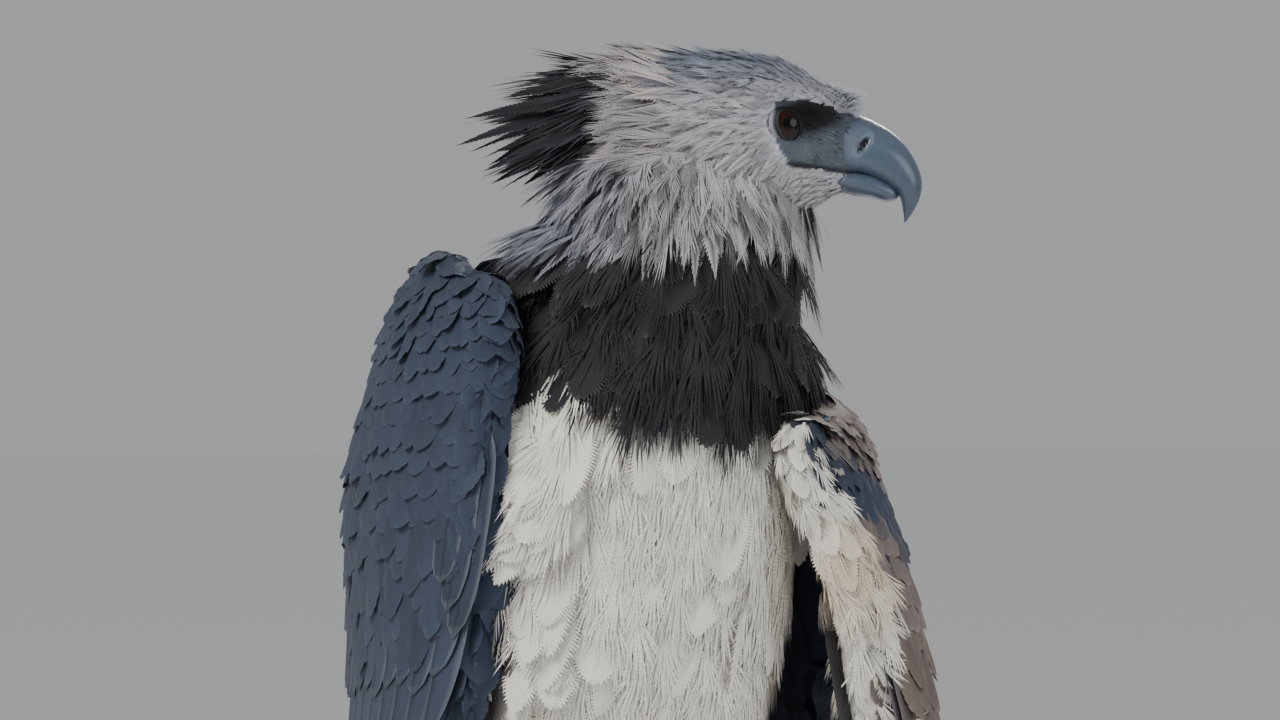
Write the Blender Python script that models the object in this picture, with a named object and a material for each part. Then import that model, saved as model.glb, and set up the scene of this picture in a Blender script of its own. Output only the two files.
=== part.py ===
"""Harpy eagle, life size, standing on its own feet, as a still museum model.

Metres, +Z up. The bird's chest faces -Y and its left side is +X. The head is turned to
the bird's left, the right wing is folded high against the side and the left wing hangs
a little open. The floor is z = 0, and the last step centres the model over the origin.
"""

import math
import random

import bmesh
import bpy
import numpy as np
from mathutils import Vector

# Driving sizes, in metres and degrees
GAP = 0.0003
CROWN_HEIGHT = 0.80
HEAD_YAW = 72.0
HEAD_DEPTH = -0.040
EYE_RADIUS = 0.0125
TAIL_LENGTH = 0.385
TAIL_DROP = 46.0

CHANCE = random.Random(11)

# Where the bird looks, and its own left, with the head turned
LOOK = Vector((math.sin(math.radians(HEAD_YAW)), -math.cos(math.radians(HEAD_YAW)), 0))
LOOK_LEFT = Vector((-LOOK.y, LOOK.x, 0))
UP = Vector((0, 0, 1))

# Torso from the tail's root to the neck: x, y, z, half width, half depth
TORSO = [
    (0.000, 0.112, 0.292, 0.040, 0.026),
    (0.000, 0.086, 0.325, 0.056, 0.042),
    (0.000, 0.056, 0.370, 0.074, 0.060),
    (0.000, 0.028, 0.425, 0.087, 0.076),
    (0.001, 0.003, 0.490, 0.089, 0.086),
    (0.004, -0.018, 0.550, 0.089, 0.090),
    (0.008, -0.032, 0.605, 0.089, 0.090),
    (0.012, -0.041, 0.650, 0.086, 0.084),
    (0.017, -0.046, 0.678, 0.076, 0.073),
]
# Neck above it: x, y, z, half width across the look, half depth along it, yaw of the look
NECK = [
    (0.017, -0.046, 0.678, 0.076, 0.073, 0.0),
    (0.023, -0.049, 0.697, 0.067, 0.068, 30.0),
    (0.027, -0.051, 0.716, 0.060, 0.067, 72.0),
    (0.028, -0.052, 0.735, 0.052, 0.063, 72.0),
    (0.029, -0.052, 0.750, 0.038, 0.048, 72.0),
    (0.029, -0.052, 0.758, 0.018, 0.026, 72.0),
]
# Head from nape to bill: distance along the look, height, half height, half width
HEAD = [
    (0.001, 0.768, 0.016, 0.017),
    (0.008, 0.766, 0.027, 0.027),
    (0.022, 0.7600, 0.0375, 0.036),
    (0.043, 0.7540, 0.0455, 0.0415),
    (0.067, 0.7520, 0.0480, 0.0425),
    (0.090, 0.7530, 0.0435, 0.0385),
    (0.107, 0.7530, 0.0345, 0.0300),
    (0.120, 0.7520, 0.0262, 0.0215),
    (0.1305, 0.7510, 0.0165, 0.0130),
]
EYE_ALONG, EYE_HEIGHT, EYE_ASIDE = 0.0955, 0.7635, 0.0270
# How far the eyes look forward, and the ring of the lids
EYE_FORWARD, LID_RADIUS, LID_THICKNESS, LID_RISE = 0.42, 0.0106, 0.0020, 0.0072
# Brow ridge over each eye: along the look, aside, height at its middle, and half sizes
BROW = (0.100, 0.0300, 0.7775)
BROW_SIZE = (0.0240, 0.0062, 0.0048)

# Upper bill: culmen and cutting edge, each along the look and height, and half width
BILL_UPPER = [
    (0.112, 0.7640, 0.110, 0.7390, 0.0190),
    (0.124, 0.7665, 0.122, 0.7370, 0.0172),
    (0.1345, 0.7640, 0.1330, 0.7355, 0.0148),
    (0.1440, 0.7590, 0.1400, 0.7330, 0.0128),
    (0.1520, 0.7520, 0.1450, 0.7305, 0.0110),
    (0.1575, 0.7440, 0.1490, 0.7280, 0.0090),
    (0.1615, 0.7350, 0.1515, 0.7240, 0.0066),
    (0.1618, 0.7270, 0.1530, 0.7200, 0.0043),
    (0.1590, 0.7195, 0.1535, 0.7165, 0.0022),
]
BILL_UPPER_TIP = (0.1535, 0.7130)
# Lower bill: top edge and under edge, each along the look and height, and half width
BILL_LOWER = [
    (0.100, 0.7395, 0.101, 0.7300, 0.0240),
    (0.112, 0.7375, 0.112, 0.7275, 0.0200),
    (0.124, 0.7362, 0.124, 0.7268, 0.0165),
    (0.135, 0.7345, 0.1350, 0.7250, 0.0130),
    (0.1420, 0.7310, 0.1425, 0.7232, 0.0100),
    (0.1470, 0.7285, 0.1475, 0.7240, 0.0070),
]
BILL_LOWER_TIP = (0.1505, 0.7265)
# Nostril slit: along the look, height, half length, half width, lean
NOSTRIL = (0.1345, 0.7515, 0.0040, 0.0013, 55.0)

# Crest feathers: root along the look, aside and height, the same of the tip, and half width
CREST = [
    (0.034, 0.012, 0.790, -0.050, 0.018, 0.7800, 0.0070),
    (0.032, -0.012, 0.790, -0.054, -0.016, 0.7735, 0.0070),
    (0.026, 0.004, 0.787, -0.046, 0.004, 0.7860, 0.0065),
    (0.020, 0.018, 0.780, -0.060, 0.026, 0.7640, 0.0075),
    (0.018, -0.018, 0.779, -0.066, -0.022, 0.7560, 0.0075),
    (0.015, 0.006, 0.777, -0.072, 0.010, 0.7490, 0.0080),
    (0.015, -0.008, 0.776, -0.062, -0.006, 0.7620, 0.0080),
    (0.012, 0.020, 0.768, -0.056, 0.030, 0.7430, 0.0075),
    (0.010, -0.020, 0.766, -0.058, -0.026, 0.7400, 0.0075),
    (0.010, 0.004, 0.762, -0.050, 0.002, 0.7330, 0.0080),
]
# Ruff: tiers of locks round the neck as height of root, fall, how far the tips stand out
RUFF = [(0.742, 0.046, 0.0035, 11), (0.719, 0.042, 0.0035, 12)]
LOCK_HALF_WIDTH = 0.0155

# Folded wing: front edge and rear edge, x y z each, and how far it swells outwards
WING_RIGHT = [
    (0.00, -0.078, -0.068, 0.694, -0.085, 0.012, 0.694, 0.010),
    (0.08, -0.077, -0.098, 0.662, -0.091, 0.054, 0.650, 0.019),
    (0.20, -0.081, -0.098, 0.605, -0.099, 0.082, 0.582, 0.025),
    (0.35, -0.084, -0.084, 0.535, -0.096, 0.102, 0.507, 0.024),
    (0.50, -0.093, -0.058, 0.462, -0.097, 0.126, 0.432, 0.020),
    (0.65, -0.104, -0.018, 0.385, -0.100, 0.152, 0.352, 0.016),
    (0.80, -0.108, 0.042, 0.300, -0.103, 0.174, 0.274, 0.011),
    (0.92, -0.102, 0.112, 0.220, -0.103, 0.190, 0.202, 0.007),
    (1.00, -0.100, 0.170, 0.160, -0.102, 0.196, 0.152, 0.000),
]
WING_LEFT = [
    (0.00, 0.074, -0.102, 0.622, 0.092, -0.006, 0.632, 0.012),
    (0.08, 0.066, -0.114, 0.598, 0.106, 0.058, 0.600, 0.034),
    (0.20, 0.090, -0.104, 0.550, 0.114, 0.098, 0.545, 0.042),
    (0.35, 0.123, -0.074, 0.480, 0.127, 0.122, 0.475, 0.041),
    (0.50, 0.149, -0.036, 0.405, 0.141, 0.144, 0.400, 0.035),
    (0.65, 0.168, 0.006, 0.325, 0.154, 0.164, 0.325, 0.026),
    (0.80, 0.182, 0.056, 0.250, 0.166, 0.182, 0.250, 0.015),
    (0.92, 0.190, 0.116, 0.175, 0.180, 0.194, 0.180, 0.007),
    (1.00, 0.194, 0.170, 0.125, 0.191, 0.196, 0.130, 0.000),
]

# The wing's feathers. v is the share of the wing's length at which each begins or ends.
ARM_TOP, ARM_UNDER = 0.0125, -0.0165
ARM_END, SEAM = 0.285, 0.0024
COVERT_TIERS = [(0.185, 0.365, 5, 0.0044), (0.105, 0.265, 5, 0.0036), (0.030, 0.175, 4, 0.0036)]
COVERT_HALF_WIDTH = 0.0240
ALULA_COUNT = 2
PRIMARY_COUNT, PRIMARY_FIRST, PRIMARY_LAST = 10, 0.03, 0.60
PRIMARY_TOP, PRIMARY_STEP, PRIMARY_HALF_WIDTH = -0.0074, 0.0012, 0.0165
PRIMARY_TIPS = [0.80, 0.90, 0.96, 0.99, 1.00, 0.985, 0.95, 0.90, 0.84, 0.79]
SECONDARY_COUNT, SECONDARY_HALF_WIDTH = 10, 0.0210
GREAT_COVERT_COUNT = 7
# The tail's feathers
RECTRIX_PAIRS, RECTRIX_HALF_WIDTH, RECTRIX_STEP = 6, 0.028, 0.00115

# Outlines of a feather's blade: share of its length, share of its half width there
LONG_VANE = [(0.0, 0.50), (0.3, 0.90), (0.6, 1.0), (0.86, 0.80), (1.0, 0.26)]
COVERT = [(0.0, 0.60), (0.58, 1.0), (0.88, 0.74), (1.0, 0.0)]
COVERT_STATIONS = [0.0, 0.58, 0.88, 1.0]
TAIL_VANE = [(0.0, 0.45), (0.35, 0.85), (0.75, 1.0), (0.955, 0.92), (1.0, 0.62)]
TAIL_STATIONS = [0.0, 0.35, 0.75, 0.965, 1.0]
CREST_VANE = [(0.0, 0.40), (0.35, 0.85), (0.75, 1.0), (0.93, 0.70), (1.0, 0.0)]
CREST_STATIONS = [0.0, 0.38, 0.76, 0.93, 1.0]
LOCK = [(0.0, 0.75), (0.45, 1.0), (0.8, 0.55), (1.0, 0.0)]
LOCK_STATIONS = [0.0, 0.45, 0.8, 1.0]
VANE_THICKNESS = 0.0008

# Leg, for the left side: x, y, z, half width, half depth
THIGH = [
    (0.044, 0.010, 0.385, 0.035, 0.054),
    (0.051, -0.022, 0.330, 0.038, 0.058),
    (0.060, -0.032, 0.280, 0.038, 0.054),
    (0.067, -0.020, 0.225, 0.034, 0.044),
    (0.070, 0.004, 0.170, 0.026, 0.033),
    (0.072, 0.024, 0.128, 0.021, 0.025),
]
TARSUS = [
    (0.074, 0.025, 0.130, 0.0150, 0.0170),
    (0.074, 0.026, 0.110, 0.0140, 0.0160),
    (0.075, 0.018, 0.075, 0.0125, 0.0145),
    (0.076, 0.010, 0.040, 0.0145, 0.0160),
    (0.076, 0.006, 0.020, 0.0180, 0.0190),
]
# Scutes on the front of the shank: how many, and how far the top and lower edge stand out
SCUTE_COUNT, SCUTE_TOP, SCUTE_EDGE = 7, 0.0001, 0.0013
FOOT_CENTRE = (0.076, 0.004)
# Toes: name, heading from straight ahead towards the outside, length, root and end half
# thickness, and the claw's length along its curve
TOES = [
    ("inner", -38.0, 0.066, 0.0125, 0.0095, 0.050),
    ("middle", -4.0, 0.086, 0.0120, 0.0090, 0.042),
    ("outer", 34.0, 0.066, 0.0110, 0.0085, 0.034),
    ("hind", 172.0, 0.056, 0.0130, 0.0105, 0.064),
]


def smooth_rows(rows, count):
    """Rows of numbers read off a smooth curve through the given rows."""
    rows = np.array(rows, float)
    padded = np.vstack([2 * rows[0] - rows[1], rows, 2 * rows[-1] - rows[-2]])
    out = []
    for t in np.linspace(0, len(rows) - 1, count):
        i = min(int(t), len(rows) - 2)
        f = t - i
        a, b, c, d = padded[i : i + 4]
        out.append(
            0.5 * (2 * b + (c - a) * f + (2 * a - 5 * b + 4 * c - d) * f**2 + (3 * b - a - 3 * c + d) * f**3)
        )
    return np.array(out)


def head_point(along, aside, height):
    """World point from a distance along the look, one to the bird's left of it, and a height."""
    return LOOK * along + LOOK_LEFT * (HEAD_DEPTH + aside) + UP * height


def oval(centre, side, up, half_side, half_up, count):
    """A ring of points round an oval."""
    turns = [2 * math.pi * k / count for k in range(count)]
    return [centre + side * (half_side * math.cos(a)) + up * (half_up * math.sin(a)) for a in turns]


def new_object(name, bm, smooth=True):
    """An object from a bmesh, with its faces turned outwards."""
    bmesh.ops.recalc_face_normals(bm, faces=bm.faces)
    if bm.calc_volume(signed=True) < 0:
        bmesh.ops.reverse_faces(bm, faces=bm.faces)
    mesh = bpy.data.meshes.new(name)
    bm.to_mesh(mesh)
    bm.free()
    obj = bpy.data.objects.new(name, mesh)
    bpy.context.scene.collection.objects.link(obj)
    if smooth:
        mesh.shade_smooth()
    return obj


def tube(name, rings, start=None, end=None):
    """A closed loft through rings of equal count, ended by a point or a flat cap."""
    bm = bmesh.new()
    loops = [[bm.verts.new(p) for p in ring] for ring in rings]
    count = len(rings[0])
    for a, b in zip(loops, loops[1:]):
        for k in range(count):
            bm.faces.new((a[k], a[(k + 1) % count], b[(k + 1) % count], b[k]))
    for loop, pole in ((loops[0], start), (loops[-1], end)):
        middle = sum((v.co for v in loop), Vector()) / count
        tip = bm.verts.new(pole if pole is not None else middle)
        for k in range(count):
            bm.faces.new((loop[k], loop[(k + 1) % count], tip))
    return new_object(name, bm)


def path_rings(rows, sides, count, turn=None):
    """Oval rings along a path of rows x, y, z, half width, half depth, and maybe a yaw."""
    rows = smooth_rows(rows, count)
    places = [Vector(r[:3]) for r in rows]
    rings = []
    for k, row in enumerate(rows):
        tangent = (places[min(k + 1, count - 1)] - places[max(k - 1, 0)]).normalized()
        yaw = math.radians(row[5]) if turn else 0.0
        side = Vector((math.cos(yaw), math.sin(yaw), 0))
        front = side.cross(tangent).normalized()
        side = tangent.cross(front).normalized()
        rings.append(oval(places[k], side, front, row[3], row[4], sides))
    return rings


def plate(name, point, us, vs, low, high):
    """A closed curved plate over a grid: point(u, v, n) gives the place n above the surface.
    Both faces are split into triangles alike. low and high are functions of u and v."""
    bm = bmesh.new()
    upper = [[bm.verts.new(point(u, v, high(u, v))) for u in us] for v in vs]
    lower = [[bm.verts.new(point(u, v, low(u, v))) for u in us] for v in vs]
    rows, cols = len(vs), len(us)
    for i in range(rows - 1):
        for j in range(cols - 1):
            for grid in (upper, lower):
                a, b, c, d = grid[i][j], grid[i][j + 1], grid[i + 1][j + 1], grid[i + 1][j]
                bm.faces.new((a, b, c))
                bm.faces.new((a, c, d))
    edge = [(0, j) for j in range(cols)] + [(i, cols - 1) for i in range(1, rows)]
    edge += [(rows - 1, j) for j in range(cols - 2, -1, -1)] + [(i, 0) for i in range(rows - 2, 0, -1)]
    for (i, j), (p, q) in zip(edge, edge[1:] + edge[:1]):
        bm.faces.new((upper[i][j], upper[p][q], lower[p][q], lower[i][j]))
    return new_object(name, bm)


def quill(place, outline, stations, thickness=VANE_THICKNESS):
    """A feather's flat blade: rows of two points on each face, and a tip. place(s, t, n) gives a
    point s of the half width aside of the shaft, t of the way from root to tip and n above."""
    shares, widths = zip(*outline)
    bm = bmesh.new()
    faces = []
    for n in (-thickness / 2, thickness / 2):
        rows = []
        for t in stations[:-1]:
            width = float(np.interp(t, shares, widths))
            rows.append([bm.verts.new(place(s * width, t, n)) for s in (-1.0, 1.0)])
        faces.append((rows, bm.verts.new(place(0.0, 1.0, n * 0.6))))
    for rows, tip in faces:
        for (a, b), (d, c) in zip(rows, rows[1:]):
            bm.faces.new((a, b, c))
            bm.faces.new((a, c, d))
        bm.faces.new((*rows[-1], tip))
    (low, low_tip), (high, high_tip) = faces
    low_edge = [row[0] for row in low] + [low_tip] + [row[1] for row in reversed(low)]
    high_edge = [row[0] for row in high] + [high_tip] + [row[1] for row in reversed(high)]
    count = len(low_edge)
    for k in range(count):
        m = (k + 1) % count
        bm.faces.new((low_edge[k], low_edge[m], high_edge[m], high_edge[k]))
    return new_object("quill", bm)


def blade(root, heading, normal, length, half_width, bend=0.0, camber=0.0):
    """Places for a free feather that sets off along a heading and bends away from its normal."""
    across = heading.cross(normal).normalized()
    normal = across.cross(heading).normalized()

    def place(s, t, n):
        turn = math.radians(bend) * t
        way = root + heading * (length * t * math.cos(turn / 2)) - normal * (length * t * math.sin(turn / 2))
        out = normal * math.cos(turn) + heading * math.sin(turn)
        return way + across * (half_width * s) + out * (n - camber * s * s)

    return place


def sphere(name, centre, radii, segments=14, rings=9, axis=None):
    """An ellipsoid, with its poles along axis."""
    bm = bmesh.new()
    bmesh.ops.create_uvsphere(bm, u_segments=segments, v_segments=rings, radius=1.0)
    spin = (axis or UP).to_track_quat("Z", "Y").to_matrix()
    for v in bm.verts:
        v.co = centre + spin @ Vector((v.co.x * radii[0], v.co.y * radii[1], v.co.z * radii[2]))
    return new_object(name, bm)


def boolean(target, others, operation, solver="MANIFOLD"):
    """Joins closed meshes to the target, or cuts them from it, and removes them."""
    held = bpy.data.collections.new("joined")
    bpy.context.scene.collection.children.link(held)
    for obj in others:
        bpy.context.scene.collection.objects.unlink(obj)
        held.objects.link(obj)
    modifier = target.modifiers.new(operation.lower(), "BOOLEAN")
    modifier.operation = operation
    modifier.operand_type = "COLLECTION"
    modifier.collection = held
    modifier.solver = solver
    graph = bpy.context.evaluated_depsgraph_get()
    graph.update()
    mesh = bpy.data.meshes.new_from_object(target.evaluated_get(graph))
    target.modifiers.clear()
    target.data = mesh
    for obj in others:
        bpy.data.objects.remove(obj)
    bpy.data.collections.remove(held)
    keep_largest(target)


def grown(obj, amount=GAP):
    """A copy of a closed mesh with all of its faces moved out by an amount."""
    bm = bmesh.new()
    bm.from_mesh(obj.data)
    bm.normal_update()
    moves = [v.normal * (amount * min(v.calc_shell_factor(), 2.5)) for v in bm.verts]
    for v, move in zip(bm.verts, moves):
        v.co += move
    return new_object("grown", bm)


def cut(target, *others):
    """Cuts other parts from the target, and leaves a hair's gap all round them."""
    boolean(target, [grown(obj) for obj in others], "DIFFERENCE")


def keep_largest(obj):
    """Keeps the largest closed surface of a mesh."""
    bm = bmesh.new()
    bm.from_mesh(obj.data)
    left, shells = set(bm.faces), []
    while left:
        shell, edge = set(), [left.pop()]
        while edge:
            face = edge.pop()
            shell.add(face)
            for e in face.edges:
                for other in e.link_faces:
                    if other in left:
                        left.remove(other)
                        edge.append(other)
        shells.append(shell)

    def extent(shell):
        points = np.array([v.co[:] for f in shell for v in f.verts])
        return float(np.prod(points.max(0) - points.min(0)))

    best = max(shells, key=extent)
    bmesh.ops.delete(bm, geom=[f for f in bm.faces if f not in best], context="FACES")
    bm.to_mesh(obj.data)
    bm.free()


def flatten_below(obj, level):
    """Cuts off what lies under a level, which leaves a flat to stand on."""
    bm = bmesh.new()
    bmesh.ops.create_cube(bm, size=1.0)
    for v in bm.verts:
        v.co.z += level - 0.5
    boolean(obj, [new_object("under", bm, False)], "DIFFERENCE")


def material(name, colour, roughness):
    """A plain finish in the colour of the part."""
    made = bpy.data.materials.get(name)
    if made is None:
        made = bpy.data.materials.new(name)
        made.use_nodes = True
        shader = made.node_tree.nodes["Principled BSDF"]
        shader.inputs["Base Color"].default_value = (*colour, 1.0)
        shader.inputs["Roughness"].default_value = roughness
    return made


GREY = ("head_grey", (0.42, 0.42, 0.43), 0.8)
BLACK = ("slate_black", (0.06, 0.065, 0.075), 0.7)
WHITE = ("breast_white", (0.80, 0.79, 0.76), 0.8)
BILL = ("bill_slate", (0.10, 0.12, 0.15), 0.35)
CLAW = ("claw_black", (0.03, 0.03, 0.035), 0.3)
YELLOW = ("foot_yellow", (0.72, 0.56, 0.18), 0.5)
IRIS = ("eye_brown", (0.07, 0.03, 0.02), 0.1)


def paint(obj, finish):
    obj.data.materials.clear()
    obj.data.materials.append(material(*finish))
    return obj


def make_torso():
    return tube("torso", path_rings(TORSO, 20, 13))


def make_neck():
    rings = path_rings(NECK, 20, 8, turn=True)
    base = path_rings(TORSO, 20, 13)[-1]
    tangent = (Vector(TORSO[-1][:3]) - Vector(TORSO[-2][:3])).normalized()
    rings[0] = [p + tangent * GAP for p in base]
    return tube("neck", rings)


def head_shell():
    rings = []
    for along, height, half_height, half_width in smooth_rows(HEAD, 12):
        centre = head_point(along, 0, height)
        rings.append(oval(centre, LOOK_LEFT, UP, half_width, half_height, 18))
    start = head_point(HEAD[0][0] - 0.004, 0, HEAD[0][1])
    return tube("head", rings, start=start)


def eye_centre(side):
    return head_point(EYE_ALONG, side * EYE_ASIDE, EYE_HEIGHT)


def make_eye(side):
    name = "eye_left" if side > 0 else "eye_right"
    return sphere(name, eye_centre(side), (EYE_RADIUS,) * 3, 12, 8, LOOK_LEFT)


def bill_rings(rows):
    rings = []
    for top_along, top_height, low_along, low_height, half_width in rows:
        top = head_point(top_along, 0, top_height)
        low = head_point(low_along, 0, low_height)
        up = (top - low).normalized()
        rings.append(oval((top + low) / 2, LOOK_LEFT, up, half_width, (top - low).length / 2, 14))
    return rings


def make_bill_upper():
    rings = bill_rings(BILL_UPPER)
    return tube("bill_upper", rings, end=head_point(BILL_UPPER_TIP[0], 0, BILL_UPPER_TIP[1]))


def make_bill_lower():
    rings = bill_rings(BILL_LOWER)
    return tube("bill_lower", rings, end=head_point(BILL_LOWER_TIP[0], 0, BILL_LOWER_TIP[1]))


def add_nostrils(bill):
    """A slanting slit in each side of the cere."""
    along, height, half_length, half_width, lean = NOSTRIL
    lean = math.radians(lean)
    way = (LOOK * math.cos(lean) + UP * math.sin(lean)).normalized()
    cutters = []
    for side in (1, -1):
        place = head_point(along, side * 0.0150, height)
        cutters.append(sphere("slit", place, (half_width, 0.0042, half_length), 8, 6, way))
    boolean(bill, cutters, "DIFFERENCE")


class Wing:
    """The curved surface of a folded wing: u runs from its front edge to its rear one,
    v from the wrist to the tip, and n is the height above it on the outside."""

    def __init__(self, rows, side):
        self.side = side
        self.name = "wing_left" if side > 0 else "wing_right"
        self.rows = smooth_rows([r[1:] for r in rows], 81)
        self.places = np.interp(np.linspace(0, len(rows) - 1, 81), range(len(rows)), [r[0] for r in rows])

    def flat(self, u, v):
        row = [np.interp(v, self.places, self.rows[:, k]) for k in range(7)]
        front, rear, swell = Vector(row[:3]), Vector(row[3:6]), row[6]
        outward = Vector((self.side, 0, 0))
        return front.lerp(rear, u) + outward * (swell * 4 * u * (1 - u))

    def stations(self, start, end):
        """Shares of a feather's length at rows that all long feathers of the wing have in common."""
        shared = [v for v in (0.44, 0.60, 0.78) if start + 0.03 < v < end - 0.035]
        near_tip = 1.0 - 0.022 / (end - start)
        return [0.0, *[(v - start) / (end - start) for v in shared], near_tip, 1.0]

    def strip(self, u_root, u_tip, v_root, v_tip, half_width, n_root, n_tip, tilt):
        """Places for a feather that lies along the wing, its front edge raised by a tilt."""

        def place(s, t, n):
            v = v_root + (v_tip - v_root) * t
            chord = (self.flat(1.0, v) - self.flat(0.0, v)).length
            u = u_root + (u_tip - u_root) * t + s * half_width / max(chord, 0.09)
            return self.point(u, v, n_root + (n_tip - n_root) * t - tilt * s + n)

        return place

    def point(self, u, v, n=0.0):
        """A place on the wing, raised n along the outward normal."""
        e = 0.01
        along_u = self.flat(u + e, v) - self.flat(u - e, v)
        along_v = self.flat(u, min(v + e, 1.0)) - self.flat(u, max(v - e, 0.0))
        normal = along_u.cross(along_v).normalized()
        if normal.x * self.side < 0:
            normal = -normal
        return self.flat(u, v) + normal * n


def make_arm(wing):
    """Upper arm and forearm, with the small and middle coverts and the alula over them."""

    def bulge(u, v):
        round_edge = 0.5 + 0.5 * min(1.0, max(u, 0.0) / 0.12)
        thin = 0.78 + 0.22 * math.sin(math.pi * min(max(u * 0.8 + 0.2, 0), 1))
        return round_edge * thin * min(1.0, 0.4 + 7 * max(v, 0.0))

    us, vs = (0.0, 0.05, 0.15, 0.30, 0.45, 0.6, 0.8, 1.0), (0.0, 0.03, 0.08, 0.16, 0.24, ARM_END)
    core = plate(
        wing.name + "_arm",
        wing.point,
        us,
        vs,
        lambda u, v: ARM_UNDER * bulge(u, v),
        lambda u, v: ARM_TOP * bulge(u, v),
    )
    inside = Vector((0.050 * wing.side, 0.020, wing.flat(0.7, 0.06).z + 0.005))
    joint = wing.flat(0.62, 0.16)
    rows = [(*inside, 0.030, 0.034), (*inside.lerp(joint, 0.5), 0.030, 0.034), (*joint, 0.009, 0.020)]
    joined = [tube("shoulder", path_rings(rows, 12, 5))]
    for v_root, v_tip, count, lift in COVERT_TIERS:
        for k in range(count):
            u = 0.20 + 0.74 * k / (count - 1) + CHANCE.uniform(-0.01, 0.01)
            root = ARM_TOP * bulge(u, v_root) - 0.0022
            reach = v_tip + CHANCE.uniform(-0.008, 0.008)
            tip = ARM_TOP * bulge(u, min(v_tip, ARM_END)) + lift
            spot = wing.strip(u, u, v_root, reach, COVERT_HALF_WIDTH, root, tip, 0.0012)
            joined.append(quill(spot, COVERT, COVERT_STATIONS))
    for k in range(ALULA_COUNT):
        u = 0.015 + 0.035 * k
        spot = wing.strip(u, u + 0.01, 0.20, 0.40 - 0.03 * k, 0.009, 0.0055, 0.0140 + 0.0016 * k, 0.0006)
        joined.append(quill(spot, COVERT, COVERT_STATIONS))
    boolean(core, joined, "UNION")
    return core


def primary_layer(share):
    """Height of a primary: the outermost lies deepest in the folded wing."""
    return PRIMARY_TOP - PRIMARY_STEP * (PRIMARY_COUNT - 1) * (1 - share)


def make_hand(wing):
    """Primaries with their coverts under them, on a thick root along the hand."""

    def middle(u):
        return primary_layer(min(max((u - PRIMARY_FIRST) / (PRIMARY_LAST - PRIMARY_FIRST), 0), 1))

    core = plate(
        wing.name + "_hand",
        wing.point,
        np.linspace(-0.02, PRIMARY_LAST + 0.06, 6),
        (ARM_END + SEAM, 0.32, 0.35),
        lambda u, v: middle(u) - 0.0028 * (1.0 if v < 0.34 else 0.6),
        lambda u, v: middle(u) + 0.0026 * (1.0 if v < 0.34 else 0.6),
    )
    joined = []
    for k in range(PRIMARY_COUNT):
        share = k / (PRIMARY_COUNT - 1)
        u = PRIMARY_FIRST + (PRIMARY_LAST - PRIMARY_FIRST) * share
        layer = primary_layer(share)
        start, end = ARM_END + 0.02, PRIMARY_TIPS[k]
        spot = wing.strip(u, u + 0.03, start, end, PRIMARY_HALF_WIDTH, layer, layer, 0.0)
        joined.append(quill(spot, LONG_VANE, wing.stations(start, end)))
    for k in range(5):
        u = PRIMARY_FIRST + 0.03 + 0.12 * k
        layer = middle(u) - 0.0022
        end = 0.44 + CHANCE.uniform(-0.01, 0.01)
        spot = wing.strip(u, u, ARM_END + 0.02, end, 0.012, layer, layer - 0.002, -0.0006)
        joined.append(quill(spot, COVERT, COVERT_STATIONS))
    boolean(core, joined, "UNION")
    return core


def make_secondaries(wing):
    """Secondaries and, over them, the great coverts, on one thick root along the forearm."""
    core = plate(
        wing.name + "_secondaries",
        wing.point,
        np.linspace(0.10, 1.0, 7),
        (ARM_END + SEAM, 0.315, 0.34),
        lambda u, v: -0.0032 * (1.0 if v < 0.33 else 0.8),
        lambda u, v: 0.0086 * (1.0 if v < 0.33 else 0.8),
    )
    joined = []
    for k in range(SECONDARY_COUNT):
        u = 0.15 + 0.80 * k / (SECONDARY_COUNT - 1)
        tip = 0.725 - 0.030 * k / SECONDARY_COUNT + CHANCE.uniform(-0.008, 0.008)
        if k >= SECONDARY_COUNT - 2:
            tip -= 0.07
        spot = wing.strip(u, u, ARM_END + 0.02, tip, SECONDARY_HALF_WIDTH, 0.0, 0.0, 0.0021)
        joined.append(quill(spot, LONG_VANE, wing.stations(ARM_END + 0.02, tip)))
    for k in range(GREAT_COVERT_COUNT):
        u = 0.17 + 0.77 * k / (GREAT_COVERT_COUNT - 1)
        tip = 0.475 + CHANCE.uniform(-0.008, 0.008)
        spot = wing.strip(u, u, ARM_END + 0.02, tip, 0.0175, 0.0052, 0.0058, 0.0013)
        joined.append(quill(spot, COVERT, COVERT_STATIONS))
    boolean(core, joined, "UNION")
    return core


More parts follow.
